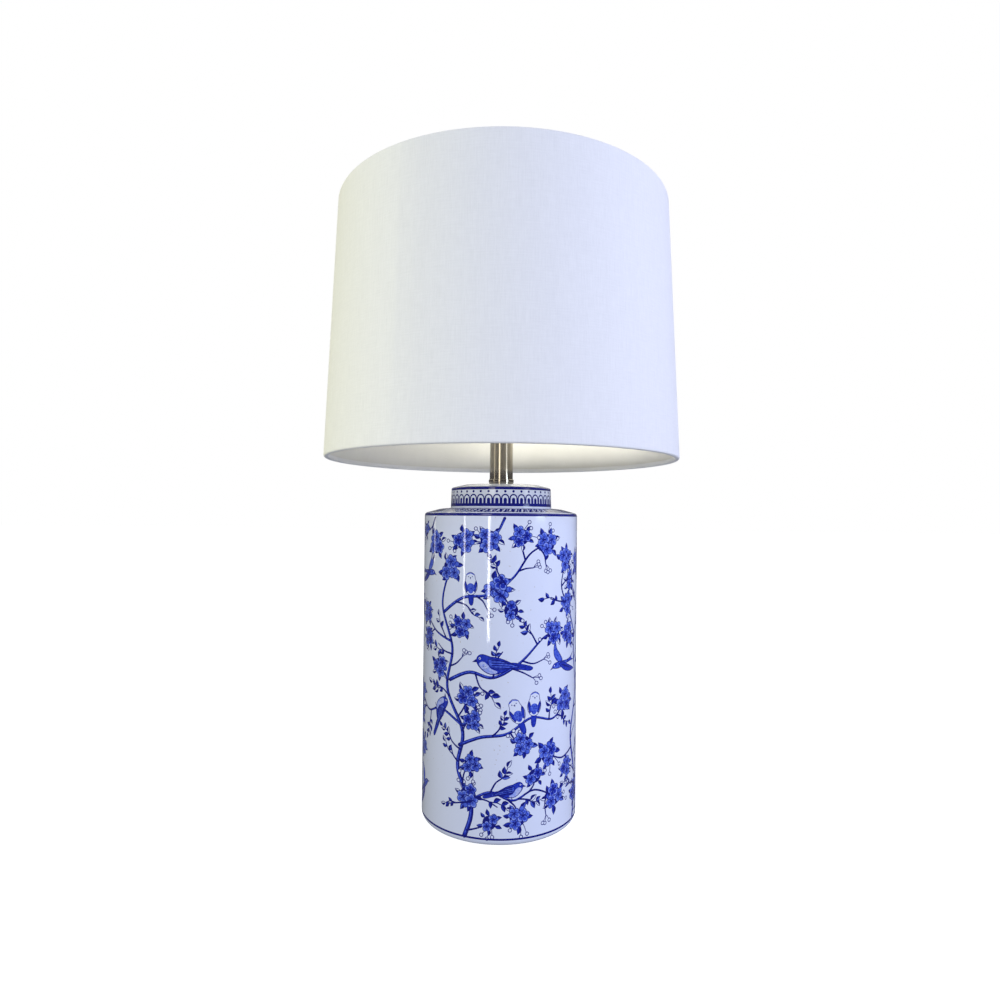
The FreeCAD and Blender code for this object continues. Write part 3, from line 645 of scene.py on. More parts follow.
def merged(sheet: Sheet, outline: Outline, across: np.ndarray) -> Sheet:
    """Joins triangles of one tone inside a column of the grid, and cuts what is left into few triangles.

    Args:
        sheet: the painted triangles.
        outline: the outline; rows where it bends are kept.
        across: the grid's columns, as distances round the girth.

    Returns:
        The same picture with fewer triangles.
    """
    facing = outline.at(outline.along)[:, 2:]
    same = np.isclose(facing[1:], facing[:-1]).all(axis=1)
    bends = outline.along[1:-1][~(same[:-1] & same[1:])]
    rows = np.concatenate([outline.along[:1], bends, outline.along[-1:]])
    middle = sheet.points[sheet.triangles].mean(axis=1)
    column, row = np.searchsorted(across, middle[:, 0]), np.searchsorted(rows, middle[:, 1])
    keys, kind = np.unique(np.stack([column, row, sheet.tones * 1000], axis=1), axis=0, return_inverse=True)
    flat = bpy.data.meshes.new("flat")
    flat.from_pydata(np.insert(sheet.points, 2, 0.0, axis=1).tolist(), [], sheet.triangles.tolist())
    flat.polygons.foreach_set("material_index", kind.ravel().astype(np.int32))
    work = bmesh.new()
    work.from_mesh(flat)
    bpy.data.meshes.remove(flat)
    bmesh.ops.remove_doubles(work, verts=work.verts, dist=0.002)
    bmesh.ops.dissolve_limit(
        work,
        angle_limit=math.radians(3),
        verts=[vert for vert in work.verts if not vert.is_boundary],
        edges=[edge for edge in work.edges if not edge.is_boundary],
        delimit={"MATERIAL"},
    )
    bmesh.ops.triangulate(work, faces=work.faces)
    work.verts.index_update()
    points = np.array([vert.co.xy for vert in work.verts])
    used, faces = np.unique([[vert.index for vert in face.verts] for face in work.faces], return_inverse=True)
    points, faces = points[used], faces.reshape(-1, 3)
    tones = keys[[face.material_index for face in work.faces], 2] / 1000
    work.free()
    log.info("merged %d triangles into %d", len(sheet.triangles), len(faces))
    return Sheet(points, faces, tones)


@dataclass(frozen=True)
class Turned:
    """A piece that stands for a CAD node and is turned about Z from an outline.

    Args:
        name: the piece's name.
        node: the CAD node.
        outline: the outline that is turned.
        girth: length of its unrolled surface round the piece, in millimetres.
        body: the CAD body that the piece moves with.
        slot: the record's material slot.
        shown_share: share of the UV map's height for the outline up to shown_end; none makes no map.
        shown_end: distance along the outline where the part that shows ends; none is at that share.
    """

    name: str
    node: str
    outline: Outline
    girth: float
    body: str = "lamp_body"
    slot: Slot = Slot.PORCELAIN
    shown_share: float = 0.8
    shown_end: float | None = None

    def build(self, sheet: Sheet) -> bpy.types.Object:
        """Rolls a sheet up into the finished piece."""
        piece = finish_piece(self.name, self.mesh(sheet), self.body, self.slot)
        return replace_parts(piece, self.node)

    def mesh(self, sheet: Sheet) -> bpy.types.Mesh:
        """Rolls a sheet up into a closed mesh with its own normals and tones.

        Args:
            sheet: triangles on the unrolled surface.

        Returns:
            The mesh.
        """
        places, normals = self._rolled(sheet.points)
        mesh = bpy.data.meshes.new(self.name)
        mesh.from_pydata(places.tolist(), [], sheet.triangles.tolist())
        flat = sheet.points[sheet.triangles.ravel()]
        if self.shown_share:
            end = self.outline.along[-1]
            shown_end = end * self.shown_share if self.shown_end is None else self.shown_end
            along = np.interp(flat[:, 1], [0.0, shown_end, end], [0.0, self.shown_share, 1.0])
            uv = mesh.uv_layers.new(name="OFBake")
            uv.data.foreach_set("uv", np.stack([flat[:, 0] / self.girth + 0.5, along], axis=1).ravel())
        cobalt = mesh.attributes.new("cobalt", "FLOAT", "CORNER")
        cobalt.data.foreach_set("value", np.repeat(sheet.tones, 3))
        lay = mesh.attributes.new("lay", "FLOAT_VECTOR", "CORNER")
        lay.data.foreach_set("vector", np.stack([flat[:, 0], flat[:, 1], flat[:, 0] * 0], axis=1).ravel())
        facing = mesh.attributes.new("facing", "FLOAT_VECTOR", "POINT")
        facing.data.foreach_set("vector", normals.ravel())
        weld(mesh)
        kept = np.zeros(len(mesh.vertices) * 3, np.float32)
        mesh.attributes["facing"].data.foreach_get("vector", kept)
        mesh.attributes.remove(mesh.attributes["facing"])
        mesh.shade_smooth()
        mesh.normals_split_custom_set_from_vertices(kept.reshape(-1, 3))
        return mesh

    def _rolled(self, points: np.ndarray) -> tuple[np.ndarray, np.ndarray]:
        """Places and normals, in metres, of points on the unrolled surface.

        Args:
            points: the points.

        Returns:
            Places and normals.
        """
        angle = points[:, 0] / self.girth * 2 * math.pi
        radius, height, out, up = self.outline.at(points[:, 1]).T
        sine, cosine = np.sin(angle), -np.cos(angle)
        places = np.stack([radius * sine, radius * cosine, height], axis=1) * MM
        return places, np.stack([out * sine, out * cosine, up], axis=1)


def weld(mesh: bpy.types.Mesh) -> None:
    """Joins the rolled-up sheet along its seams, and drops slivers that fold onto each other.

    Args:
        mesh: the rolled-up sheet.
    """
    work = bmesh.new()
    work.from_mesh(mesh)
    bmesh.ops.remove_doubles(work, verts=work.verts, dist=0.005 * MM)
    sharing: dict[frozenset[bmesh.types.BMVert], list[bmesh.types.BMFace]] = {}
    for face in work.faces:
        sharing.setdefault(frozenset(face.verts), []).append(face)
    folded = [face for faces in sharing.values() if len(faces) > 1 for face in faces]
    bmesh.ops.delete(work, geom=folded, context="FACES")
    bmesh.ops.delete(work, geom=[edge for edge in work.edges if edge.is_wire], context="EDGES")
    work.to_mesh(mesh)
    work.free()


def measured(node: str) -> tuple[float, float, float]:
    """Outer radius, foot and top of a round CAD node, in millimetres."""
    low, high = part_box(node)
    return high.x / MM, low.z / MM, high.z / MM


def added(name: str, data: bpy.types.ID) -> bpy.types.Object:
    """Puts a new object into the scene.

    Args:
        name: its name.
        data: its mesh, camera or light.

    Returns:
        The object.
    """
    thing = bpy.data.objects.new(name, data)
    bpy.context.scene.collection.objects.link(thing)
    return thing


def finish_piece(name: str, mesh: bpy.types.Mesh, body: str, slot: Slot) -> bpy.types.Object:
    """Puts a mesh into the scene as a piece of the lamp.

    Args:
        name: the piece's name.
        mesh: its mesh.
        body: the CAD body that it moves with.
        slot: the record's material slot.

    Returns:
        The piece.
    """
    mesh.materials.clear()
    mesh.materials.append(material_of(slot))
    piece = added(name, mesh)
    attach(piece, body)
    log.info("%s: %d faces", name, len(mesh.polygons))
    return piece


# --- painting on the unrolled surface
class Tone(Enum):
    """Strength of the cobalt."""

    GROUND = 0.0
    PALE = 0.27
    WASH = 0.42
    MID = 0.58
    DEEP = 0.76
    LINE = 0.93


@dataclass(frozen=True)
class Patch:
    """An area of one tone, closed, in unrolled millimetres."""

    outline: np.ndarray
    tone: Tone


@dataclass(frozen=True)
class Band:
    """A band of one tone all the way round, between two distances along the outline."""

    low: float
    high: float
    tone: Tone


def spline(points: Sequence[Point], closed: bool = False, step: float = 1.6) -> np.ndarray:
    """A smooth line through the points, sampled about every step millimetres.

    Args:
        points: what the line goes through.
        closed: whether it ends where it starts.
        step: usual distance between samples.

    Returns:
        The samples.
    """
    knots = np.array(points, float)
    count = len(knots)
    line = []
    for i in range(count if closed else count - 1):
        span = [i - 1, i, i + 1, i + 2]
        span = [k % count for k in span] if closed else [min(max(k, 0), count - 1) for k in span]
        before, here, there, after = knots[span]
        steps = max(2, round(float(np.hypot(*(there - here))) / step))
        for k in range(steps):
            t = k / steps
            bend = 2 * before - 5 * here + 4 * there - after
            curl = -before + 3 * here - 3 * there + after
            line.append(0.5 * (2 * here + (there - before) * t + bend * t**2 + curl * t**3))
    if not closed:
        line.append(knots[-1])
    return np.array(line)


def sideways(line: np.ndarray, closed: bool = False) -> np.ndarray:
    """Unit vectors to the left of a line at each of its points.

    Args:
        line: points of the line.
        closed: whether it is a closed shape.

    Returns:
        A vector for each point.
    """
    if closed:
        run = np.roll(line, -1, axis=0) - np.roll(line, 1, axis=0)
    else:
        run = np.gradient(line, axis=0)
    run /= np.maximum(np.hypot(*run.T), 1e-9)[:, None]
    return np.stack([-run[:, 1], run[:, 0]], axis=1)


def grown(shape: np.ndarray, distance: float) -> np.ndarray:
    """A closed shape moved outwards by a distance, or inwards where it is negative.

    Args:
        shape: the closed shape.
        distance: how far it moves.

    Returns:
        The moved shape.
    """
    following = np.roll(shape, -1, axis=0)
    area = float(np.sum(shape[:, 0] * following[:, 1] - following[:, 0] * shape[:, 1]))
    return shape - sideways(shape, closed=True) * distance * math.copysign(1.0, area)


def rotated(points: np.ndarray, turn: float) -> np.ndarray:
    """Points turned about the origin, by an angle in radians."""
    cosine, sine = math.cos(turn), math.sin(turn)
    return points @ np.array([[cosine, sine], [-sine, cosine]])


def disc(centre: Point, radius: float, sides: int = 10, squash: float = 1.0, turn: float = 0.0) -> np.ndarray:
    """A round or oval patch.

    Args:
        centre: its centre.
        radius: its greater radius.
        sides: number of its corners.
        squash: its height as a share of its width.
        turn: its turn, in radians.

    Returns:
        Its corners.
    """
    angles = np.linspace(0, 2 * math.pi, sides, endpoint=False)
    oval = np.stack([np.cos(angles), np.sin(angles) * squash], axis=1) * radius
    return rotated(oval, turn) + np.array(centre)


def polar(at: Point, turn: float, reach: float) -> Point:
    """The place at a distance from another, in a direction given in radians."""
    return at[0] + math.cos(turn) * reach, at[1] + math.sin(turn) * reach


def covered(points: np.ndarray, shape: np.ndarray) -> np.ndarray:
    """Which points lie inside a closed shape, by the winding rule.

    Args:
        points: the points.
        shape: the closed shape.

    Returns:
        A truth value for each point.
    """
    start = shape[None, :, :]
    end = np.roll(shape, -1, axis=0)[None, :, :]
    here = points[:, None, :]
    rising = (start[..., 1] <= here[..., 1]) & (end[..., 1] > here[..., 1])
    falling = (start[..., 1] > here[..., 1]) & (end[..., 1] <= here[..., 1])
    edge = end - start
    arm = here - start
    side = edge[..., 0] * arm[..., 1] - arm[..., 0] * edge[..., 1]
    winding = (rising & (side > 0)).sum(axis=1) - (falling & (side < 0)).sum(axis=1)
    return winding != 0


@dataclass
class Canvas:
    """Patches and bands on an unrolled surface, in painting order: later ones cover earlier ones.

    Args:
        outline: the outline that the surface is turned from.
        girth: length of the unrolled surface round the piece, in millimetres.
        base: distance along the outline that stands for height 0 on the wall.
    """

    outline: Outline
    girth: float
    base: float
    layers: list[Patch | Band] = field(default_factory=list)

    def fill(self, shape: np.ndarray, tone: Tone) -> None:
        """Paints a closed shape, given by distance round and height on the wall."""
        self.layers.append(Patch(np.asarray(shape, float) + np.array([0.0, self.base]), tone))

    def band(self, low: float, high: float, tone: Tone) -> None:
        """Paints a band between two distances along the outline."""
        self.layers.append(Band(low, high, tone))

    def ribbon(self, line: np.ndarray, start: float, end: float, tone: Tone) -> None:
        """Paints a stroke along a line whose width runs from start to end, with round ends.

        Args:
            line: the line.
            start: width where it starts.
            end: width where it ends.
            tone: its tone.
        """
        share = np.linspace(0, 1, len(line))
        half = ((start + (end - start) * share) / 2)[:, None]
        side = sideways(line)
        ahead = np.array([side[-1][1], -side[-1][0]]) * half[-1] * 0.8
        behind = np.array([-side[0][1], side[0][0]]) * half[0] * 0.8
        left, right = line + side * half, line - side * half
        ends = ([line[-1] + ahead], [line[0] + behind])
        self.fill(np.concatenate([left, ends[0], right[::-1], ends[1]]), tone)

    def sheet(self, columns: int, tiles: int) -> Sheet:
        """Cuts the patches into the surface.

        Args:
            columns: columns of the grid round the piece.
            tiles: upright strips that are cut one by one; they divide the columns evenly.

        Returns:
            Triangles whose edges follow every patch, and their tones.
        """
        rows = set(np.round(self.outline.along, 5))
        for layer in self.layers:
            if isinstance(layer, Band):
                rows |= {round(layer.low, 5), round(layer.high, 5)}
        heights = np.array(sorted(rows))
        across = np.linspace(-self.girth / 2, self.girth / 2, columns + 1)
        patches = self._wrapped()
        parts: list[Sheet] = []
        width = columns // tiles
        for k in range(tiles):
            parts.append(self._tile(across[k * width : (k + 1) * width + 1], heights, patches))
        offsets = np.cumsum([0] + [len(part.points) for part in parts])
        whole = Sheet(
            np.concatenate([part.points for part in parts]),
            np.concatenate([part.triangles + offset for part, offset in zip(parts, offsets)]),
            np.concatenate([part.tones for part in parts]),
        )
        return merged(whole, self.outline, across)

    def _wrapped(self) -> list[tuple[np.ndarray, Tone, float, float] | Band]:
        """Layers with each patch repeated a girth to either side where it may cross the seam.

        Returns:
            Shape, tone and reach round the piece of each patch, and the bands.
        """
        found: list[tuple[np.ndarray, Tone, float, float] | Band] = []
        for layer in self.layers:
            if isinstance(layer, Band):
                found.append(layer)
                continue
            for turn in (-1, 0, 1):
                shape = layer.outline + np.array([turn * self.girth, 0.0])
                low, high = float(shape[:, 0].min()), float(shape[:, 0].max())
                if high > -self.girth / 2 and low < self.girth / 2:
                    found.append((shape, layer.tone, low, high))
        return found

    @staticmethod
    def _tile(across: np.ndarray, heights: np.ndarray, layers: list) -> Sheet:
        """Cuts the layers into one upright strip.

        Args:
            across: grid columns of the strip.
            heights: grid rows.
            layers: what _wrapped gives.

        Returns:
            The strip's triangles and their tones.
        """
        left, right = float(across[0]), float(across[-1])
        grid = np.stack(np.meshgrid(across, heights), axis=-1).reshape(-1, 2)
        count, rows = len(across), len(heights)
        index = np.arange(count * rows).reshape(rows, count)
        edges = [
            np.stack([index[:, :-1].ravel(), index[:, 1:].ravel()], axis=1),
            np.stack([index[:-1].ravel(), index[1:].ravel()], axis=1),
        ]
        points = [grid]
        total = len(grid)
        here = [part for part in layers if isinstance(part, Band) or (part[3] > left and part[2] < right)]
        for layer in here:
            if isinstance(layer, Band):
                continue
            size = len(layer[0])
            ring = np.arange(size) + total
            edges.append(np.stack([ring, np.roll(ring, -1)], axis=1))
            points.append(layer[0])
            total += size
        corners = [Vector(p) for p in np.concatenate(points).tolist()]
        cut = delaunay_2d_cdt(corners, np.concatenate(edges).tolist(), [], 0, 1e-4, False)
        found = np.array([tuple(p) for p in cut[0]], float)
        faces = np.array([face for face in cut[2]], int)
        middle = found[faces].mean(axis=1)
        inside = (middle[:, 0] > left) & (middle[:, 0] < right)
        inside &= (middle[:, 1] > heights[0]) & (middle[:, 1] < heights[-1])
        faces, middle = faces[inside], middle[inside]
        tones = np.zeros(len(faces))
        for layer in here:
            if isinstance(layer, Band):
                tones[(middle[:, 1] > layer.low) & (middle[:, 1] < layer.high)] = layer.tone.value
                continue
            shape, tone, low, high = layer
            near = (middle[:, 0] > low) & (middle[:, 0] < high)
            near &= (middle[:, 1] > shape[:, 1].min()) & (middle[:, 1] < shape[:, 1].max())
            near = np.flatnonzero(near)
            if len(near):
                tones[near[covered(middle[near], shape)]] = tone.value
        return Sheet(found, faces, tones)


# --- motifs
DRAWN_EDGE = 0.6
PETALS = 5
LEAF_TONES = (Tone.GROUND, Tone.MID, Tone.DEEP, Tone.DEEP)


@dataclass(frozen=True)
class Stance:
    """Where a motif is set: its place, its turn in degrees, its size and whether it is mirrored."""

    at: Point
    turn: float = 0.0
    size: float = 1.0
    mirrored: bool = False

    def put(self, points: Sequence[Point] | np.ndarray) -> np.ndarray:
        """Points of the motif on the canvas.

        Args:
            points: points of the motif.

        Returns:
            The same points on the canvas.
        """
        local = np.array(points, float) * self.size
        if self.mirrored:
            local[:, 0] *= -1
        return rotated(local, math.radians(self.turn)) + np.array(self.at)


@dataclass
class Painter:
    """Draws birds, boughs, blossoms and leaves on a canvas, with a fixed seed.

    Args:
        canvas: what is painted on.
        seed: makes the same picture every time.
        taken: round places that are used, each with its radius.
    """

    canvas: Canvas
    seed: int = 7
    taken: list[tuple[float, float, float]] = field(default_factory=list)

    def __post_init__(self) -> None:
        """Starts the drawing of random numbers."""
        self.random = random.Random(self.seed)

    def free(self, at: Point, radius: float) -> bool:
        """Whether a round place on the canvas is still empty.

        Args:
            at: its middle.
            radius: its radius.

        Returns:
            Whether it is.
        """
        for x, z, other in self.taken:
            gap = abs(x - at[0])
            gap = min(gap, self.canvas.girth - gap)
            if math.hypot(gap, z - at[1]) < radius + other:
                return False
        return True

    def take(self, at: Point, radius: float) -> None:
        """Marks a round place on the canvas as used."""
        self.taken.append((at[0], at[1], radius))

    def outlined(self, shape: np.ndarray, tone: Tone, width: float) -> None:
        """Fills a closed shape and draws its outline just inside."""
        self.canvas.fill(shape, Tone.LINE)
        self.canvas.fill(grown(shape, -width), tone)

    def part(
        self, stance: Stance, points: Sequence[Point], tone: Tone, edge: float, step: float = 2.4
    ) -> None:
        """A rounded part of a motif, with a drawn edge where it has a width.

        Args:
            stance: where the motif is set.
            points: what its edge goes through.
            tone: its tone.
            edge: width of its drawn edge, or 0.
            step: usual distance between samples.
        """
        shape = stance.put(spline(points, closed=True, step=step))
        if edge:
            self.outlined(shape, tone, edge)
        else:
            self.canvas.fill(shape, tone)

    def stroke(
        self, stance: Stance, points: Sequence[Point], start: float, end: float, step: float = 3.0,
        tone: Tone = Tone.LINE,
    ) -> None:
        """A curved stroke of a motif."""
        self.canvas.ribbon(stance.put(spline(points, step=step)), start, end, tone)

    def dot(
        self, stance: Stance, centre: Point, radius: float, sides: int, tone: Tone, squash: float = 1.0
    ) -> None:
        """A round or oval dot of a motif."""
        self.canvas.fill(stance.put(disc(centre, radius, sides, squash)), tone)

    def leaf(self, at: Point, turn: float, length: float, tone: Tone) -> None:
        """A pointed leaf with one darker half.

        Args:
            at: its root.
            turn: its direction, in degrees.
            length: its length.
            tone: its lighter tone.
        """
        share = np.linspace(0, 1, 7)
        half = 0.29 * length * np.sin(math.pi * share**0.85)
        bend = 0.10 * length * np.sin(math.pi * share)
        upper = np.stack([share * length, bend + half], axis=1)
        lower = np.stack([share * length, bend - half], axis=1)
        stance = Stance(at, turn)
        self.outlined(stance.put(np.concatenate([upper, lower[-2:0:-1]])), tone, DRAWN_EDGE)
        rib = np.stack([share * length, bend - 0.12 * half], axis=1)[1:-1]
        dark = np.concatenate([rib, (upper - np.array([0.0, 0.4]))[-2:0:-1]])
        self.canvas.fill(stance.put(dark), Tone.LINE)

    def sprig(self, at: Point, turn: float, length: float) -> None:
        """A thin stem with paired leaves.

        Args:
            at: its root.
            turn: its direction, in degrees.
            length: its length.
        """
        side = self.random.choice((-1, 1))
        bend = length * 0.16 * side
        stem = spline([(0, 0), (length * 0.5, bend), (length, bend * 0.4)], step=2.5)
        stance = Stance(at, turn)
        self.canvas.ribbon(stance.put(stem), 1.3, 0.8, Tone.LINE)
        for share, spread in ((0.42, 52), (0.72, 44), (1.0, 0)):
            place = stance.put([stem[int(share * (len(stem) - 1))]])[0]
            size = length * self.random.uniform(0.42, 0.54)
            for sign in (1, -1) if spread else (1,):
                if spread and self.random.random() < 0.16:
                    continue
                tone = self.random.choice(LEAF_TONES)
                self.leaf(tuple(place), turn + sign * spread + self.random.uniform(-9, 9), size, tone)

    def berries(self, at: Point, turn: float, length: float) -> None:
        """Three round berries on thin stems.

        Args:
            at: their root.
            turn: their direction, in degrees.
            length: length of the longest stem.
        """
        for spread in self.random.sample((-26, -6, 18, 38), 3):
            reach = length * self.random.uniform(0.6, 1.0)
            stance = Stance(at, turn + spread)
            stem = spline([(0, 0), (reach * 0.5, reach * 0.08), (reach, 0)], step=3.0)
            self.canvas.ribbon(stance.put(stem), 0.75, 0.65, Tone.LINE)
            tip = stance.put([(reach + 1.4, 0)])[0]
            self.canvas.fill(disc(tip, 2.1, 10), Tone.LINE)
            self.canvas.fill(disc(tip, 1.35, 9), Tone.GROUND)

    def blossom(self, at: Point, radius: float, tone: Tone) -> None:
        """Five round petals with pale rims, about a dark eye.

        Args:
            at: its middle.
            radius: its radius.
            tone: tone of its petals.
        """
        start = self.random.uniform(0, 360 / PETALS)
        size = radius * 0.52
        for k in range(PETALS):
            turn = math.radians(start + 360 / PETALS * k)
            centre, inner, root = (polar(at, turn, radius * share) for share in (0.56, 0.46, 0.24))
            self.canvas.fill(disc(centre, size, 12, 0.94, turn), Tone.LINE)
            self.canvas.fill(disc(centre, size - DRAWN_EDGE, 11, 0.92, turn), Tone.WASH)
            self.canvas.fill(disc(inner, size * 0.62, 9, 0.94, turn), tone)
            self.canvas.ribbon(np.array([inner, root]), 0.5, 0.9, Tone.LINE)
        self.canvas.fill(disc(at, radius * 0.2, 7), Tone.LINE)

    def cluster(self, at: Point, radius: float) -> None:
        """A few blossoms packed together over dark leaves, with a bud and berries.

        Args:
            at: its middle.
            radius: its radius.
        """
        start = self.random.uniform(0, 360)
        for k in range(6):
            turn = start + k * 60 + self.random.uniform(-16, 16)
            reach = radius * 0.66
            root = polar(at, math.radians(turn), reach)
            tone = self.random.choice(LEAF_TONES)
            heading = turn + self.random.uniform(-26, 26)
            self.leaf(root, heading, radius * self.random.uniform(0.60, 0.80), tone)
        if self.random.random() < 0.6:
            self.berries(at, start + 36, radius * 1.55)
        self.canvas.fill(disc(at, radius * 0.72, 12), Tone.LINE)
        around = 3 if radius > 10 else 2
        for k in range(around):
            turn = math.radians(start + 20 + k * 360 / around + self.random.uniform(-12, 12))
            reach = radius * self.random.uniform(0.44, 0.52)
            place = (at[0] + math.cos(turn) * reach, at[1] + math.sin(turn) * reach * 1.05)
            tone = self.random.choice((Tone.MID, Tone.MID, Tone.DEEP))
            self.blossom(place, radius * self.random.uniform(0.50, 0.60), tone)
        bud = polar(at, math.radians(start + 200), radius * 0.78)
        self.outlined(disc(bud, radius * 0.24, 9), Tone.MID, DRAWN_EDGE)

    def bough(self, points: Sequence[Point], start: float, end: float) -> np.ndarray:
        """A branch with a dark edge and a lighter wash along it.

        Args:
            points: what it goes through.
            start: width where it starts.
            end: width where it ends.

        Returns:
            Its middle line.
        """
        line = spline(points, step=3.0)
        share = np.linspace(0, 1, len(line))
        width = start + (end - start) * share
        self.canvas.ribbon(line, start, end, Tone.LINE)
        thick = width > 2.0
        core = line[thick] + sideways(line)[thick] * 0.12 * start
        if len(core) > 8:
            inner = float(width[thick][-1])
            self.canvas.ribbon(core[1:-1], start * 0.5, inner * 0.4, Tone.DEEP)
            self.canvas.ribbon(core[2:-2:3], start * 0.2, inner * 0.16, Tone.MID)
        return line

    def songbird(self, stance: Stance) -> None:
        """A small bird seen from the side, standing on its place and facing left.

        Args:
            stance: where the bird is set.
        """
        tail = ((17, 9), (27, 5.5), (36, 1.0), (37.5, -1.8), (34, -3.2), (26, -0.4), (15, 3.6))
        self.part(stance, tail, Tone.DEEP, 0.6, 3.0)
        for drop in (0.0, 1.6):
            self.stroke(stance, ((18, 6.8 - drop), (27, 3.6 - drop), (35, -0.4 - drop)), 0.35, 0.3, 4.0)
        body = (
            (-16.8, 16.2), (-15.4, 20.4), (-11.2, 22.6), (-6.6, 21.4), (-2.0, 18.9), (5, 16.6), (12, 12.6),
            (18, 8.2), (20, 5.6), (15, 3.4), (8, 1.4), (0, 0.6), (-7, 2.4), (-12.4, 7.0), (-15.6, 11.8),
        )
        self.part(stance, body, Tone.DEEP, 0.8)
        breast = (
            (-14.6, 13.6), (-10.5, 15.2), (-6.6, 12.2), (-3.4, 6.8), (2, 3.4), (-0.4, 1.6), (-6.6, 3.2),
            (-11.6, 7.6),
        )
        self.part(stance, breast, Tone.PALE, 0.0)
        cap = ((-16.0, 17.0), (-14.8, 20.2), (-11.2, 22.0), (-7.4, 20.9), (-7.4, 17.6), (-11.6, 16.4))
        self.part(stance, cap, Tone.DEEP, 0.0, 2.0)
        wing = (
            (-4.6, 16.4), (2, 15.6), (10, 11.6), (19, 6.6), (26, 2.2), (16, 3.6), (7, 4.0), (-1, 6.0),
            (-5.4, 11),
        )
        self.part(stance, wing, Tone.MID, 0.8)
        for rise in range(4):
            high = 6.4 + rise * 2.3
            tip = (19 - rise * 1.6, high - 3.6 + rise * 0.2)
            self.stroke(stance, ((-2.4 + rise * 0.3, high + 1.4), (8, high - 0.8), tip), 1.15, 0.6)
        for k in range(6):
            fleck = (-12.0 + 1.7 * (k % 3) + 0.8 * (k // 3), 10.4 - 2.6 * (k // 3))
            self.dot(stance, fleck, 0.6, 6, Tone.LINE, 0.5)
        self.canvas.fill(stance.put([(-16.6, 18.7), (-21.2, 16.4), (-16.4, 15.4)]), Tone.LINE)
        self.dot(stance, (-12.7, 18.7), 1.15, 9, Tone.GROUND)
        self.dot(stance, (-12.8, 18.7), 0.65, 8, Tone.LINE)
        for foot in (-2.6, 2.2):
            self.stroke(stance, ((foot + 1.0, 2.0), (foot, -0.8), (foot - 2.2, -1.6)), 0.8, 0.6, 2.0)

    def roosting(self, stance: Stance) -> None:
        """A plump bird seen from the front, standing on its place.

        Args:
            stance: where the bird is set.
        """
        tail = ((-2.8, 3), (2.8, 3), (2.9, -8.5), (0.4, -12), (-2.6, -9))
        self.part(stance, tail, Tone.DEEP, 0.5, 3.0)
        body = (
            (0, -0.6), (4.6, 1.2), (7.6, 6.6), (7.9, 12.2), (5.9, 17.4), (5.0, 22.0), (0, 24.8), (-5.0, 22.0),
            (-5.9, 17.4), (-7.9, 12.2), (-7.6, 6.6), (-4.6, 1.2),
        )
        self.part(stance, body, Tone.GROUND, 0.55)
        for side in (-1, 1):
            wing = ((6.6, 15.4), (7.3, 9.4), (4.8, 2.4), (3.0, 6.0), (4.4, 11.6))
            self.part(stance, [(x * side, z) for x, z in wing], Tone.DEEP, 0.6)
        bib = ((-3.9, 10.4), (0, 12.6), (3.9, 10.4), (3.4, 4.0), (0, 1.0), (-3.4, 4.0))
        self.part(stance, bib, Tone.MID, 0.0)
        for k in range(7):
            fleck = (-2.0 + 2.0 * (k % 3) + 1.0 * (k // 3 % 2), 9.2 - 2.3 * (k // 3))
            self.dot(stance, fleck, 0.55, 6, Tone.LINE, 0.6)
        for side in (-1, 1):
            self.dot(stance, (2.3 * side, 19.6), 0.6, 8, Tone.LINE)
        self.canvas.fill(stance.put([(-0.9, 18.9), (0.9, 18.9), (0, 16.6)]), Tone.LINE)
        self.stroke(stance, ((-4.4, 21.6), (0, 23.6), (4.4, 21.6)), 0.9, 0.9, 2.4, Tone.MID)

    def swallow(self, stance: Stance) -> None:
        """A bird in flight to the right, with swept wings and a forked tail.

        Args:
            stance: where the bird is set.
        """
        far = ((5, 4), (10, 13), (9, 22), (2, 32), (3, 22), (0, 13), (-2, 4))
        self.part(stance, far, Tone.MID, 0.8, 2.6)
        tail = ((-9, 0), (-19, -1.5), (-29, 0.6), (-22, -4.2), (-28, -9.5), (-18, -6.2), (-10, -4.2))
        self.part(stance, tail, Tone.DEEP, 0.55, 3.0)
        body = (
            (18, 3.4), (14.6, 6.6), (9, 6.8), (1, 4.2), (-8, 0.8), (-13, -2.4), (-7, -4.4), (3, -3.0),
            (11, -0.8),
        )
        self.part(stance, body, Tone.MID, 0.8)
        near = ((5.6, 3.2), (3, -3.6), (-3, -11), (-13, -17), (-25, -20), (-16, -11), (-9, -4.6), (-3, 1.4))
        self.part(stance, near, Tone.DEEP, 0.8, 2.6)
        for k in range(4):
            root, middle = (1.6 - k * 1.8, 0.2 - k * 1.3), (-5 - k * 1.6, -6.4 - k * 0.8)
            self.stroke(stance, (root, middle, (-14 - k * 1.2, -12.6 - k * 1.2)), 0.9, 0.5, 4.0)
        cap = ((17.2, 3.8), (14.2, 6.2), (10, 6.2), (9.4, 3.4), (13.4, 2.6))
        self.part(stance, cap, Tone.DEEP, 0.0, 2.0)
        self.canvas.fill(stance.put([(17.6, 4.4), (21.8, 2.4), (17.4, 2.2)]), Tone.LINE)
        self.dot(stance, (13.6, 4.4), 0.75, 8, Tone.GROUND)


# --- the jar's picture
@dataclass(frozen=True)
class Bough:
    """A branch of the picture: its points, its widths, and where along it flowers and birds sit."""

    points: tuple[Point, ...]
    start: float
    end: float
    flowers: tuple[float, ...] = (1.0,)


@dataclass(frozen=True)
class Perch:
    """A bird on a branch."""

    bough: int
    share: float
    kind: str
    size: float
    mirrored: bool = False


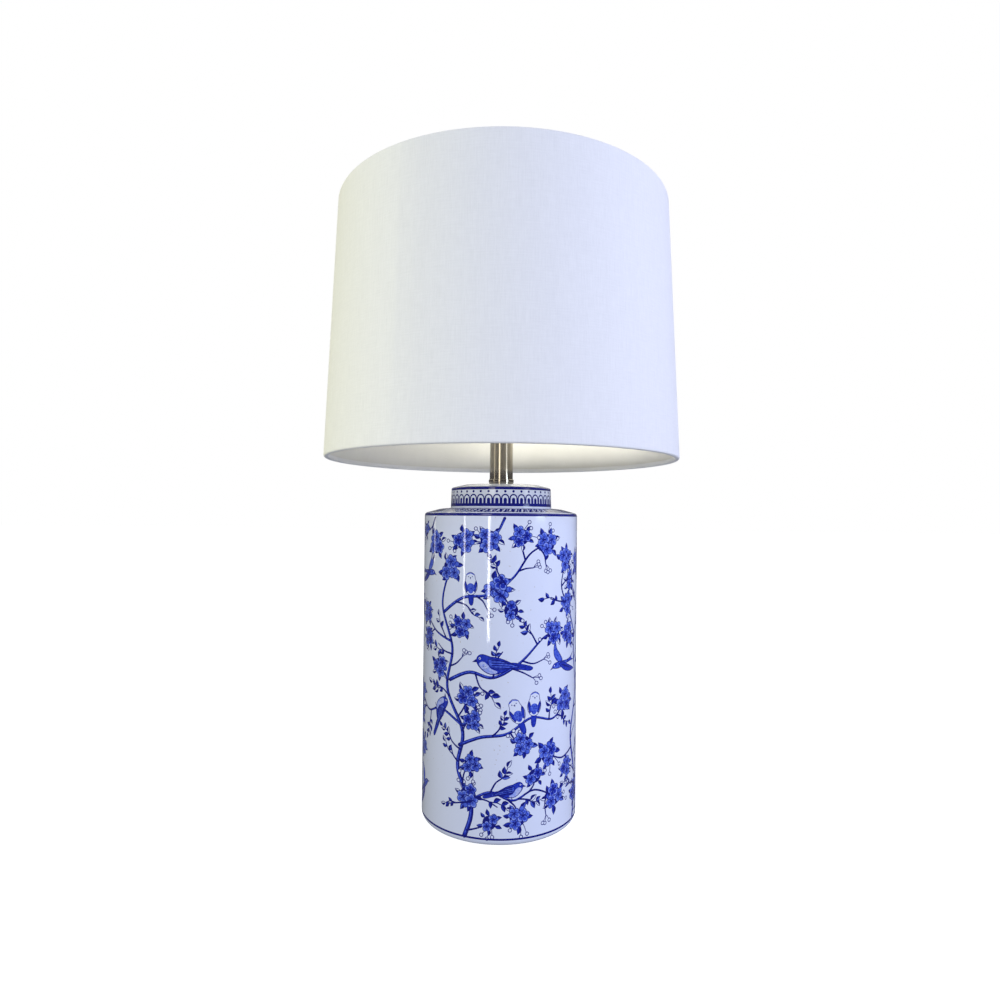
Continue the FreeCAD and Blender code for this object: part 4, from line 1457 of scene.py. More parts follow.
BOUGHS: tuple[Bough, ...] = (
    Bough(
        ((-34, 9), (-27, 38), (-42, 74), (-37, 110), (-56, 150), (-50, 190), (-64, 232), (-54, 268)),
        5.2, 2.4, (0.16, 1.0),
    ),
    Bough(((-41, 96), (-18, 106), (8, 110), (32, 124), (58, 120), (76, 134)), 3.8, 1.8),
    Bough(((-53, 158), (-30, 168), (-6, 164), (20, 178), (44, 200), (60, 206)), 4.0, 1.8, (0.99,)),
    Bough(((-62, 224), (-38, 240), (-12, 244), (12, 260), (30, 284), (50, 294)), 3.6, 1.6, (0.52, 1.0)),
    Bough(((-29, 44), (-8, 54), (14, 46), (36, 54), (62, 42)), 3.2, 1.4, (0.98,)),
    Bough(((-38, 116), (-64, 128), (-88, 122), (-110, 138)), 3.2, 1.4, (0.98,)),
    Bough(((-51, 196), (-74, 204), (-94, 220)), 2.8, 1.3),
    Bough(
        ((96, 9), (102, 50), (90, 96), (105, 140), (98, 186), (113, 230), (106, 272)), 4.6, 2.2, (0.12, 1.0),
    ),
    Bough(((93, 84), (72, 78), (52, 86)), 2.6, 1.2),
    Bough(((104, 150), (128, 162), (150, 157), (172, 172)), 3.2, 1.4),
    Bough(((100, 198), (84, 226), (70, 250), (78, 278)), 3.0, 1.4, (0.45, 1.0)),
    Bough(((111, 236), (134, 248), (158, 262)), 2.8, 1.3),
    Bough(((101, 46), (124, 60), (148, 58), (168, 74)), 2.8, 1.3),
    Bough(
        ((-150, 9), (-157, 50), (-144, 96), (-159, 142), (-150, 190), (-165, 236), (-156, 274)),
        4.6, 2.2, (0.14, 1.0),
    ),
    Bough(((-147, 86), (-124, 92), (-104, 82)), 2.8, 1.3),
    Bough(((-158, 150), (-182, 158), (-204, 150), (-226, 164)), 3.2, 1.4),
    Bough(((-152, 200), (-128, 214), (-112, 240), (-118, 268)), 3.0, 1.4, (0.5, 1.0)),
    Bough(((-163, 228), (-188, 241), (-210, 236), (-230, 250)), 2.8, 1.3),
    Bough(((-156, 42), (-180, 56), (-206, 52), (-226, 66)), 2.8, 1.3),
    Bough(
        ((216, 9), (208, 50), (221, 96), (210, 142), (222, 186), (212, 232), (221, 270)),
        4.6, 2.2, (0.13, 1.0),
    ),
    Bough(((214, 76), (192, 88), (182, 112)), 2.8, 1.3),
    Bough(((212, 150), (190, 168), (178, 200)), 3.0, 1.4),
    Bough(((219, 196), (240, 210), (262, 208), (280, 222)), 3.0, 1.4),
    Bough(((214, 240), (192, 252), (178, 276)), 2.6, 1.2),
    Bough(((210, 40), (234, 48), (254, 68)), 2.6, 1.2),
    Bough(((4, 319), (-4, 304), (-20, 294), (-38, 296)), 3.0, 1.4, (0.55, 1.0)),
    Bough(((-78, 319), (-84, 304), (-74, 290)), 2.8, 1.3, (0.98,)),
    Bough(((122, 319), (130, 302), (146, 292)), 2.8, 1.3, (0.98,)),
    Bough(((-112, 319), (-124, 304), (-138, 298)), 2.8, 1.3, (0.98,)),
    Bough(((188, 319), (196, 304), (190, 290)), 2.8, 1.3, (0.98,)),
    Bough(((240, 319), (246, 302), (259, 292)), 2.8, 1.3, (0.98,)),
)
PERCHES: tuple[Perch, ...] = (
    Perch(2, 0.42, "songbird", 1.0),
    Perch(1, 0.66, "roosting", 0.95),
    Perch(1, 0.53, "roosting", 1.0),
    Perch(4, 0.46, "songbird", 0.72, True),
    Perch(3, 0.30, "roosting", 0.9),
    Perch(9, 0.5, "songbird", 0.85, True),
    Perch(5, 0.5, "songbird", 0.8),
    Perch(15, 0.5, "roosting", 1.0),
    Perch(15, 0.62, "roosting", 0.95),
    Perch(22, 0.5, "songbird", 0.9, True),
    Perch(12, 0.45, "roosting", 0.9),
)
FLIGHTS: tuple[Stance, ...] = (
    Stance((72, 172), 20, 0.86, True),
    Stance((-92, 262), -14, 0.82),
    Stance((-100, 40), 24, 0.8),
    Stance((160, 222), 12, 0.85, True),
    Stance((-190, 110), -10, 0.85),
    Stance((246, 130), 16, 0.85),
)


@dataclass
class JarPicture:
    """Birds among flowering branches all round the jar, between its base line and its shoulder."""

    painter: Painter
    lowest: float
    highest: float

    def paint(self) -> None:
        """Draws branches first, then flowers, birds and twigs where there is room."""
        painter = self.painter
        lines = [painter.bough(b.points, b.start * 0.95, b.end) for b in BOUGHS]
        for stance in FLIGHTS:
            painter.take(stance.at, 21 * stance.size)
            painter.swallow(stance)
        perches = [self._perch(perch, lines[perch.bough]) for perch in PERCHES]
        for bough, line in zip(BOUGHS, lines):
            self._flowers(bough, line)
        for line in lines:
            for place in line[::2]:
                painter.take(tuple(place), 1.5)
        for line in lines:
            self._twigs(line)
        for kind, stance in perches:
            getattr(painter, kind)(stance)

    def _perch(self, perch: Perch, line: np.ndarray) -> tuple[str, Stance]:
        """Sets a bird on its branch and takes the room for it.

        Args:
            perch: the bird.
            line: the branch's middle line.

        Returns:
            What is drawn, and where.
        """
        k = int(perch.share * (len(line) - 2))
        run = line[k + 1] - line[k]
        slope = math.degrees(math.atan2(run[1], run[0])) * 0.6
        stance = Stance((float(line[k][0]), float(line[k][1]) + 1.6), slope, perch.size, perch.mirrored)
        if perch.kind == "songbird":
            for reach in (-14, 0, 14, 28):
                spot = stance.put([(reach, 9 - reach * 0.2)])[0]
                self.painter.take(tuple(spot), 9 * perch.size)
        else:
            self.painter.take((stance.at[0], stance.at[1] + 11 * perch.size), 10 * perch.size)
        return perch.kind, stance

    def _flowers(self, bough: Bough, line: np.ndarray) -> None:
        """Puts a cluster at each flowering place that is free.

        Args:
            bough: the branch.
            line: its middle line.
        """
        for share in bough.flowers:
            place = tuple(line[int(share * (len(line) - 1))])
            radius = self.painter.random.uniform(11.5, 13.5)
            if place[1] + radius < self.highest and self.painter.free(place, radius * 0.8):
                self.painter.take(place, radius)
                self.painter.cluster(place, radius)

    def _twigs(self, line: np.ndarray) -> None:
        """Lets twigs grow to either side of a branch.

        Args:
            line: the branch's middle line.
        """
        painter = self.painter
        side = painter.random.choice((-1, 1))
        k = 3
        while k < len(line) - 2:
            run = line[k + 1] - line[k]
            heading = math.degrees(math.atan2(run[1], run[0]))
            for _ in range(5):
                turn = heading + side * painter.random.uniform(38, 88)
                if self._twig(tuple(line[k]), turn):
                    break
                side = -side
            side = -side
            k += painter.random.randint(4, 7)

    def _twig(self, root: Point, turn: float) -> bool:
        """Grows a twig where there is room for what it carries.

        Args:
            root: where it starts.
            turn: its direction, in degrees.

        Returns:
            Whether it grew.
        """
        painter = self.painter
        reach = painter.random.uniform(13, 27)
        kind = painter.random.choices(("cluster", "sprig", "berries"), (0.50, 0.36, 0.14))[0]
        radius = painter.random.uniform(9.5, 12.0) if kind == "cluster" else 7.0
        tip = polar(root, math.radians(turn), reach)
        inside = self.lowest + radius < tip[1] < self.highest - radius
        if not inside or not painter.free(tip, radius * (0.92 if kind == "cluster" else 0.85)):
            return False
        bend = painter.random.uniform(-0.16, 0.16) * reach
        stem = spline([(0, 0), (reach * 0.5, bend), (reach, 0)], step=2.5)
        placed = Stance(root, turn).put(stem)
        painter.canvas.ribbon(placed, 2.0, 1.1, Tone.LINE)
        painter.take(tip, radius)
        painter.take(tuple(placed[len(placed) // 2]), 2.5)
        if kind == "cluster":
            painter.cluster(tip, radius)
        elif kind == "sprig":
            start = tuple(placed[int(len(placed) * 0.55)])
            painter.sprig(start, turn + painter.random.uniform(-12, 12), painter.random.uniform(13, 18))
            if painter.random.random() < 0.5:
                painter.leaf(start, turn + 60 * painter.random.choice((-1, 1)), 6.5, Tone.DEEP)
        else:
            painter.berries(tuple(placed[-1]), turn, 8.0)
        return True


# --- jar and lid
@dataclass(frozen=True)
class JarForm:
    """Sizes of the jar, in millimetres; radius, foot and land are read from its node."""

    radius: float
    foot_z: float
    land_z: float
    foot_round: float = 7.0
    foot_ring_width: float = 10.0
    wall: float = 6.0
    floor_under_z: float = 22.0
    floor_thickness: float = 7.0
    floor_hole: float = 6.5
    shoulder_slope: float = 15.0
    shoulder_round: float = 4.0
    break_radius: float = 66.0
    break_drop: float = 0.9
    land_radius: float = 56.0
    mouth_radius: float = 46.0

    def shoulder_z(self, radius: float) -> float:
        """Height of the shoulder's steeper slope at a radius."""
        run = radius - self.break_radius
        return self.land_z - self.break_drop - run * math.tan(math.radians(self.shoulder_slope))

    def outline(self) -> Outline:
        """The jar's closed outline, from the inner edge of its foot ring outwards.

        Returns:
            The outline.
        """
        inner = self.radius - self.wall
        foot_inner = self.radius - self.foot_round - self.foot_ring_width
        floor_top = self.floor_under_z + self.floor_thickness
        corners = [
            (foot_inner, self.foot_z, 3.0), (self.radius, self.foot_z, self.foot_round),
            (self.radius, self.shoulder_z(self.radius), self.shoulder_round),
            (self.break_radius, self.shoulder_z(self.break_radius), 30.0),
            (self.land_radius, self.land_z, 1.0), (self.mouth_radius, self.land_z, 1.5),
            (self.mouth_radius, self.land_z - self.wall, 1.5),
            (inner, self.shoulder_z(inner) - self.wall, 5.0), (inner, floor_top, 6.0),
            (self.floor_hole, floor_top, 0.8), (self.floor_hole, self.floor_under_z, 0.8),
            (foot_inner, self.floor_under_z, 4.0),
        ]
        return Outline(corners, arc_step=9.0, longest=24.0)


# One wave of the shoulder's band, in shares of its pitch and of the band's depth.
WAVE = ((0.12, 0.04), (0.30, 0.08), (0.56, 0.38), (0.80, 0.86), (0.70, 0.94), (0.46, 0.72), (0.26, 0.34))


@dataclass
class Jar:
    """The painted jar, with the heights of its picture and lines and the radii of its band of waves."""

    columns: int = 120
    tiles: int = 12
    picture_low: float = 13.0
    picture_high: float = 316.0
    base_line: tuple[float, float] = (8.0, 10.0)
    shoulder_line: tuple[float, float] = (320.6, 323.6)
    wave_radii: tuple[float, float] = (79.4, 65.6)
    waves: int = 74

    def build(self) -> bpy.types.Object:
        """Paints and turns the jar in place of its CAD node.

        Returns:
            The piece.
        """
        radius, foot, land = measured("ginger_jar")
        form = JarForm(round(radius, 3), foot, land)
        outline = form.outline()
        girth = 2 * math.pi * form.radius
        wall_z = 100.0
        canvas = Canvas(outline, girth, outline.along_at_height(wall_z) - wall_z)
        painter = Painter(canvas)
        JarPicture(painter, self.picture_low, self.picture_high).paint()
        self._borders(canvas)
        sheet = canvas.sheet(self.columns, self.tiles)
        near_top = outline.along_at_height(form.land_z - 20)
        shown_end = outline.along_at_radius(form.mouth_radius + 2, near_top, 560)
        jar = Turned("painted_jar", "ginger_jar", outline, girth, shown_share=0.86, shown_end=shown_end)
        return jar.build(sheet)

    def _borders(self, canvas: Canvas) -> None:
        """The base line, the shoulder's line and the row of waves inside it.

        Args:
            canvas: the jar's canvas.
        """
        outline = canvas.outline
        start = outline.along_at_height(self.base_line[0])
        canvas.band(start, start + self.base_line[1] - self.base_line[0], Tone.LINE)
        canvas.band(*(outline.along_at_height(height) for height in self.shoulder_line), Tone.LINE)
        start = outline.along_at_height(self.shoulder_line[0] - 0.6)
        low, high = (outline.along_at_radius(radius, start, start + 60.0) for radius in self.wave_radii)
        canvas.band(low, high, Tone.LINE)
        pitch = canvas.girth / self.waves
        foot, depth = low + 1.6 - canvas.base, high - low - 2.8
        for k in range(self.waves):
            left = -canvas.girth / 2 + k * pitch
            crest = [(left + x * pitch, foot + y * depth) for x, y in WAVE]
            canvas.fill(spline(crest, closed=True, step=2.0), Tone.GROUND)
            canvas.fill(disc((left + 0.2 * pitch, foot + 0.84 * depth), 0.7, 7), Tone.PALE)
        log.info("jar: %d layers of paint", len(canvas.layers))


@dataclass
class Lid:
    """The painted lid: an arcade between two lines, under a plain white dome.

    The radius is that of the upright band, the skirt hangs into the jar's mouth, and the bore is for the rod.
    """

    radius: float = 55.0
    band_height: float = 21.8
    skirt: float = 8.0
    wall: float = 4.5
    bore: float = 6.5
    low_line: tuple[float, float] = (330.6, 333.7)
    high_line: tuple[float, float] = (347.8, 351.2)
    arches: int = 40
    columns: int = 80
    tiles: int = 8

    def build(self) -> bpy.types.Object:
        """Paints and turns the lid in place of its CAD node.

        Returns:
            The piece.
        """
        _, skirt_foot, top = measured("jar_lid")
        radius, seat = self.radius, skirt_foot + self.skirt
        band_top = seat + self.band_height
        flange, flange_inner = 45.2, 41.0
        corners = [
            (flange, seat, 0.4), (radius, seat, 0.8), (radius - 0.8, band_top, 2.2),
            (40.0, top - 1.4, 12.0), (14.7, top, 4.0), (self.bore, top, 0.5),
            (self.bore, top - self.wall, 0.5), (flange_inner, band_top - self.wall, 4.0),
            (flange_inner, seat - self.skirt, 1.0), (flange, seat - self.skirt, 1.0),
        ]
        outline = Outline(corners, arc_step=9.0)
        girth = 2 * math.pi * radius
        middle = (seat + band_top) / 2
        base = outline.along_at_height(middle) - middle
        canvas = Canvas(outline, girth, base)
        self._arcade(canvas)
        sheet = canvas.sheet(self.columns, self.tiles)
        shown_end = base + band_top + 44.0
        return Turned("painted_lid", "jar_lid", outline, girth, shown_end=shown_end).build(sheet)

    def _arcade(self, canvas: Canvas) -> None:
        """Two lines with a row of arches and dots between them.

        Args:
            canvas: the lid's canvas.
        """
        for low, high in (self.low_line, self.high_line):
            canvas.band(canvas.base + low, canvas.base + high, Tone.LINE)
        floor = self.low_line[1]
        spring = floor + 5.0
        pitch = canvas.girth / self.arches
        for k in range(self.arches):
            centre = -canvas.girth / 2 + (k + 0.5) * pitch
            self._arch(canvas, centre, pitch * 0.5, floor, spring, Tone.LINE)
            self._arch(canvas, centre, pitch * 0.5 - 1.35, floor, spring, Tone.GROUND)
            self._arch(canvas, centre, 1.7, floor, spring - 1.2, Tone.LINE)
            canvas.fill(disc((centre, self.high_line[0] - 1.9), 1.35, 9), Tone.LINE)

    @staticmethod
    def _arch(canvas: Canvas, centre: float, half: float, floor: float, spring: float, tone: Tone) -> None:
        """A round-headed opening on straight sides.

        Args:
            canvas: the lid's canvas.
            centre: its middle, round the girth.
            half: half its width.
            floor: height of its foot.
            spring: height where its head starts.
            tone: its tone.
        """
        angles = np.linspace(0, math.pi, 9)
        head = np.stack([centre + np.cos(angles) * half, spring + np.sin(angles) * half * 1.08], axis=1)
        foot = np.array([[centre - half, floor], [centre + half, floor]])
        canvas.fill(np.concatenate([head, foot]), tone)


# --- neck and shade
def build_neck(wall: float = 0.9, columns: int = 96) -> list[bpy.types.Object]:
    """Turns the nickel tube and its beaded collar in place of their CAD nodes.

    Args:
        wall: thickness of the metal, in millimetres.
        columns: grid columns round both.

    Returns:
        The pieces.
    """
    radius, foot, top = measured("neck_tube")
    outlines = {
        "neck_tube": Outline([(radius - wall, foot), (radius, foot), (radius, top), (radius - wall, top)])
    }
    bead, foot, top = measured("neck_collar")
    bore, base, hole = bead - wall, bead - 0.5, 5.35
    floor = foot + 1.2
    outlines["neck_collar"] = Outline(
        [
            (hole, foot), (base, foot, 0.2), (base, floor, 0.2), (bead, floor + 0.6, 0.5),
            (bead, top, 0.6), (bore, top, 0.1), (bore, floor, 0.2), (hole, floor, 0.2),
        ]
    )
    pieces = []
    for node, outline in outlines.items():
        girth = 2 * math.pi * outline.rows[:, 0].max()
        turned = Turned(f"smooth_{node}", node, outline, girth, slot=Slot.SATIN_NICKEL)
        pieces.append(turned.build(plain_sheet(outline, girth, columns)))
    return pieces


@dataclass
class Shade:
    """Linen skin and liner of the drum shade, each with its lapped seam at the back.

    Args:
        cloth: thickness of the linen, in millimetres.
        liner: thickness of the liner.
        gap: between linen and liner.
        hem_round: outer radius of the folds at both rims.
        hem_height: how far the linen is turned back inside a rim.
        hem_width: across a rim, from the skin's outer face to the turned-in edge.
        narrowing: how much less the radius is at the top than at the foot.
        lap_width: width of the skin's seam.
    """

    columns: int = 240
    cloth: float = 0.5
    liner: float = 0.7
    gap: float = 0.1
    hem_round: float = 1.8
    hem_height: float = 4.8
    hem_width: float = 5.0
    narrowing: float = 11.5
    lap_width: float = 12.0

    def build(self) -> list[bpy.types.Object]:
        """Turns the skin and the liner in place of their CAD nodes, and lays the seam over the skin.

        Returns:
            The pieces.
        """
        radius, self.foot, self.top = measured("shade_linen")
        self.radius = round(radius, 1)
        self.girth = 2 * math.pi * self.radius
        skin_outline = self._skin()
        skin = self._turned("woven_skin", "shade_linen", skin_outline, Slot.LINEN)
        liner = self._turned("backing_liner", "shade_liner", self._liner(), Slot.SHADE_LINER)
        lap = self._flap("linen_lap", Slot.LINEN, 0.0, 0.42, self.lap_width, self.hem_round)
        inner = -(self.cloth + self.gap + self.liner)
        width, margin = self.lap_width * 1.1, self.hem_height + 1
        joint = self._flap("liner_lap", Slot.SHADE_LINER, inner - self.liner, inner, width, margin)
        rows = skin_outline.rows
        runs = np.hypot(*np.diff(rows[:, :2], axis=0).T)
        area = float(np.sum(runs * (rows[1:, 0] + rows[:-1, 0]) * math.pi)) / 2 * MM**2
        slant = math.hypot(self.top - self.foot, self.narrowing) + 2 * (self.hem_height + self.hem_width)
        width = self.girth * MM
        min(area, width * slant * MM)
        return [skin, liner, lap, joint]

    def _flap(
        self, name: str, slot: Slot, inside: float, outside: float, width: float, margin: float
    ) -> bpy.types.Object:
        """A lapped strip up the back, between two distances from the skin's outer face.

        Args:
            name: the piece's name.
            slot: the record's material slot.
            inside: inner face, in millimetres from the skin's outer face.
            outside: outer face.
            width: across the strip.
            margin: how far its ends stay inside the shade's rims.

        Returns:
            The strip.
        """
        heights = np.linspace(self.foot + margin, self.top - margin, 28)
        across = np.linspace(-width / 2, width / 2, 7)
        bevel = min(0.15, (outside - inside) / 3)
        ring = [(u, outside - (bevel if abs(u) > width / 2 - 0.01 else 0.0)) for u in across]
        ring += [(u, inside) for u in across[::-1]]
        points, layout = [], []
        for z in heights:
            for u, out in ring:
                angle = u / self.radius
                radius = self._radius_at(z) + out
                points.append((math.sin(-angle) * radius * MM, math.cos(angle) * radius * MM, z * MM))
                layout.append((u, z, 0.0))
        size = len(ring)
        rows = np.arange(len(points)).reshape(-1, size)
        faces = [
            (below[k], below[(k + 1) % size], above[(k + 1) % size], above[k])
            for below, above in zip(rows[:-1].tolist(), rows[1:].tolist())
            for k in range(size)
        ]
        faces += [tuple(rows[0].tolist()[::-1]), tuple(rows[-1].tolist())]
        mesh = bpy.data.meshes.new(name)
        mesh.from_pydata(points, [], faces)
        lay = mesh.attributes.new("lay", "FLOAT_VECTOR", "POINT")
        lay.data.foreach_set("vector", np.array(layout).ravel())
        work = bmesh.new()
        work.from_mesh(mesh)
        bmesh.ops.recalc_face_normals(work, faces=work.faces)
        work.to_mesh(mesh)
        work.free()
        return finish_piece(name, mesh, "shade", slot)

    def _turned(self, name: str, node: str, outline: Outline, slot: Slot) -> bpy.types.Object:
        """Turns one layer of the shade in place of its CAD node."""
        sheet = plain_sheet(outline, self.girth, self.columns)
        return Turned(name, node, outline, self.girth, "shade", slot).build(sheet)

    def _radius_at(self, z: float) -> float:
        """Radius of the skin's outer face at a height."""
        return self.radius - (z - self.foot) * self.narrowing / (self.top - self.foot)

    def _skin(self) -> Outline:
        """The skin, turned in at both rims.

        Returns:
            Its outline.
        """
        cloth, fold = self.cloth, self.hem_round
        inner = fold - cloth
        hem_low = self.radius - self.hem_width
        hem_high = self._radius_at(self.top) - self.hem_width + 0.1
        low, high = self.foot, self.top
        corners = [
            (self.radius, low, fold), (self._radius_at(high), high, fold), (hem_high, high, fold),
            (hem_high, high - self.hem_height, 0.2), (hem_high + cloth, high - self.hem_height, 0.2),
            (hem_high + cloth, high - cloth, inner),
            (self._radius_at(high - cloth) - cloth, high - cloth, inner),
            (self._radius_at(low + cloth) - cloth, low + cloth, inner),
            (hem_low + cloth, low + cloth, inner), (hem_low + cloth, low + self.hem_height, 0.2),
            (hem_low, low + self.hem_height, 0.2), (hem_low, low, fold),
        ]
        return Outline(corners, arc_step=12.0, longest=30.0)

    def _liner(self) -> Outline:
        """The liner, between the rims.

        Returns:
            Its outline.
        """
        low, high = self.foot + self.hem_round, self.top - self.hem_round
        outside = self.cloth + self.gap
        ends = ((low, self.liner), (low, 0.0), (high, 0.0), (high, self.liner))
        corners = [(self._radius_at(z) - outside - inward, z, 0.1) for z, inward in ends]
        return Outline(corners, longest=30.0)


# --- screw threads and socket ribs
class GeometryTree(TreeBuilder):
    """A geometry node tree with named inputs, run on a mesh and baked into it.

    Args:
        name: the tree's name.
    """

    def __init__(self, name: str) -> None:
        """Makes the tree with its geometry input and output."""
        super().__init__(bpy.data.node_groups.new(name, "GeometryNodeTree"))
        self.tree.interface.new_socket("Geometry", in_out="OUTPUT", socket_type="NodeSocketGeometry")
        self.entry = self.node("NodeGroupInput")
        self.chosen: dict[str, object] = {}
        self.ask("Geometry", "NodeSocketGeometry", None)

    def ask(self, name: str, kind: str, value: object) -> bpy.types.NodeSocket:
        """Adds a named input with the value that the modifier will set.

        Args:
            name: the input's name.
            kind: its socket type.
            value: its value, or none for the mesh itself.

        Returns:
            The socket inside the tree.
        """
        item = self.tree.interface.new_socket(name, in_out="INPUT", socket_type=kind)
        if value is not None:
            self.chosen[item.identifier] = value
        return self.entry.outputs[name]

    def close(self, geometry: bpy.types.NodeSocket, material: bpy.types.Material) -> None:
        """Ends the tree: real geometry, with its material.

        Args:
            geometry: what the tree has made.
            material: its material.
        """
        slot = self.ask("Material", "NodeSocketMaterial", material)
        real = self.node("GeometryNodeRealizeInstances", values={0: geometry})
        dressed = self.node("GeometryNodeSetMaterial", values={"Geometry": real.outputs[0], "Material": slot})
        self.node("NodeGroupOutput", values={0: dressed.outputs[0]})

    def baked(self, mesh: bpy.types.Mesh) -> bpy.types.Mesh:
        """Runs the tree on a mesh and returns the result as a plain mesh.

        Args:
            mesh: the mesh.

        Returns:
            What the tree makes of it.
        """
        carrier = added("carrier", mesh)
        modifier = carrier.modifiers.new("nodes", "NODES")
        modifier.node_group = self.tree
        for identifier, value in self.chosen.items():
            modifier[identifier] = value
        seen = carrier.evaluated_get(bpy.context.evaluated_depsgraph_get())
        made = bpy.data.meshes.new_from_object(seen)
        carrier.modifiers.clear()
        bpy.data.objects.remove(carrier)
        return made


@dataclass
class Threaded:
    """A turned piece with a screw thread wound up its outside.

    The corners are those of its core, at the root of the thread. The thread starts at the height low and
    ends at high, crest is its outer radius, and lengths are in millimetres.
    """

    name: str
    node: str
    body: str
    slot: Slot
    corners: tuple[Row, ...]
    crest: float
    depth: float
    pitch: float
    low: float
    high: float
    columns: int = 48

    def build(self) -> bpy.types.Object:
        """Turns the core and winds the thread round it.

        Returns:
            The piece.
        """
        outline = Outline(self.corners)
        girth = 2 * math.pi * self.crest
        core = Turned(self.name, self.node, outline, girth, shown_share=0.0)
        mesh = self._tree().baked(core.mesh(plain_sheet(outline, girth, self.columns)))
        piece = finish_piece(self.name, mesh, self.body, self.slot)
        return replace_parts(piece, self.node)

    def _tree(self) -> GeometryTree:
        """A rounded ridge on a rising spiral, joined to the core.

        Returns:
            The tree.
        """
        tree = GeometryTree(f"{self.name}_thread")
        middle = (self.crest - self.depth / 2) * MM
        radius = tree.ask("Thread radius", "NodeSocketFloat", middle)
        turns = tree.ask("Turns", "NodeSocketFloat", (self.high - self.low) / self.pitch)
        rise = tree.ask("Rise", "NodeSocketFloat", (self.high - self.low) * MM)
        width = tree.ask("Ridge radius", "NodeSocketFloat", self.depth / 2 * MM)
        foot = tree.ask("Foot", "NodeSocketVector", (0.0, 0.0, self.low * MM))
        spiral = tree.node(
            "GeometryNodeCurveSpiral",
            values={
                "Resolution": 40, "Rotations": turns, "Start Radius": radius, "End Radius": radius,
                "Height": rise,
            },
        )
        upright = tree.node("GeometryNodeSetCurveNormal", {"mode": "Z_UP"}, {"Curve": spiral.outputs[0]})
        profile = tree.node("GeometryNodeCurvePrimitiveCircle", values={"Resolution": 6, "Radius": width})
        ridge = tree.node(
            "GeometryNodeCurveToMesh",
            values={"Curve": upright.outputs[0], "Profile Curve": profile.outputs[0], "Fill Caps": True},
        )
        moved = {"Geometry": ridge.outputs[0], "Translation": foot}
        placed = tree.node("GeometryNodeTransform", values=moved)
        both = tree.node("GeometryNodeJoinGeometry", values={0: tree.entry.outputs[0]})
        tree.feed(both.inputs[0], placed.outputs[0])
        tree.close(both.outputs[0], material_of(self.slot))
        return tree


@dataclass
class SocketRibs:
    """A row of pressed ribs round the foot of the socket's shell, where it grips its cap."""

    count: int = 40
    width: float = 0.9
    height: float = 4.2
    proud: float = 0.28
    lift: float = 4.0

    def build(self, frame: dict) -> bpy.types.Object:
        """Lays the ribs round the CAD node of the cap.


        Returns:
            The piece.
        """
        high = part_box("socket_cap")[1]
        slot = Slot(node_slots(frame)["socket_cap"])
        tree = GeometryTree("socket_ribs")
        count = tree.ask("Ribs", "NodeSocketInt", self.count)
        radius = tree.ask("Ring radius", "NodeSocketFloat", high.x)
        foot = tree.ask("Height", "NodeSocketVector", (0.0, 0.0, high.z - self.lift * MM))
        size = tuple(part * MM for part in (self.proud, self.width / 2, self.height / 2))
        shape = tree.ask("Rib size", "NodeSocketVector", size)
        ring = tree.node("GeometryNodeMeshCircle", values={"Vertices": count, "Radius": radius})
        rib = tree.node("GeometryNodeMeshUVSphere", values={"Segments": 8, "Rings": 6, "Radius": 1.0})
        outward = tree.node("GeometryNodeInputPosition")
        turned = tree.node("FunctionNodeAlignRotationToVector", {"axis": "X"}, {"Vector": outward.outputs[0]})
        made = {"Points": ring, "Instance": rib, "Rotation": turned}
        values = {name: node.outputs[0] for name, node in made.items()}
        row = tree.node("GeometryNodeInstanceOnPoints", values={**values, "Scale": shape})
        moved = {"Geometry": row.outputs[0], "Translation": foot}
        placed = tree.node("GeometryNodeTransform", values=moved)
        tree.close(placed.outputs[0], material_of(slot))
        mesh = tree.baked(bpy.data.meshes.new("ribs"))
        mesh.shade_smooth()
        return finish_piece("socket_ribs", mesh, "lamp_body", slot)


def threaded_pieces() -> list[Threaded]:
    """The lamp rod and the bulb's cap.

    Returns:
        The pieces, ready to be built.
    """
    _, low, high = measured("lamp_rod")
    rod = Threaded(
        "threaded_rod", "lamp_rod", "lamp_body", Slot.PLATED_STEEL,
        ((3.5, low), (4.75, low), (4.75, high), (3.5, high)),
        crest=5.1, depth=0.7, pitch=0.94, low=low + 0.6, high=high - 0.6,
    )
    _, low, high = measured("bulb_cap")
    cap = Threaded(
        "threaded_bulb_cap", "bulb_cap", "bulb", Slot.BULB_METAL,
        tuple((r, z, 0.05) for r, z in ((12.05, low), (12.3, low), (12.3, high), (12.05, high))),
        crest=12.98, depth=1.4, pitch=3.63, low=low + 1.4, high=high - 4.6,
    )
    return [rod, cap]


# --- CAD pieces that show as they are
def node_slots(frame: dict) -> dict[str, str]:
    """The material slot of each CAD node, from the record."""
    return {entry["node"]: entry["material_slot"] for entry in frame["record"]["subparts"]}


def dress_cad_nodes(frame: dict) -> None:
    """Gives every CAD node that still shows the material of its slot.
    """
    slots = node_slots(frame)
    for name, node in frame["nodes"].items():
        if node.hide_render:
            continue
        slot = Slot(slots[name])
        node.data.materials.clear()
        node.data.materials.append(material_of(slot))
        log.info("node %s wears %s", name, slot.value)


# --- stage
@dataclass(frozen=True)
class Photo:
    """The photograph's camera, fitted to the lamp's outlines in its 1000 pixel frame."""

    frame_px: float = 1000.0
    focal_px: float = 671.1
    distance_mm: float = 736.7
    height_mm: float = 320.1
    pitch_deg: float = 1.41
    yaw_deg: float = -0.09
    roll_deg: float = 0.482
    sensor_mm: float = 36.0


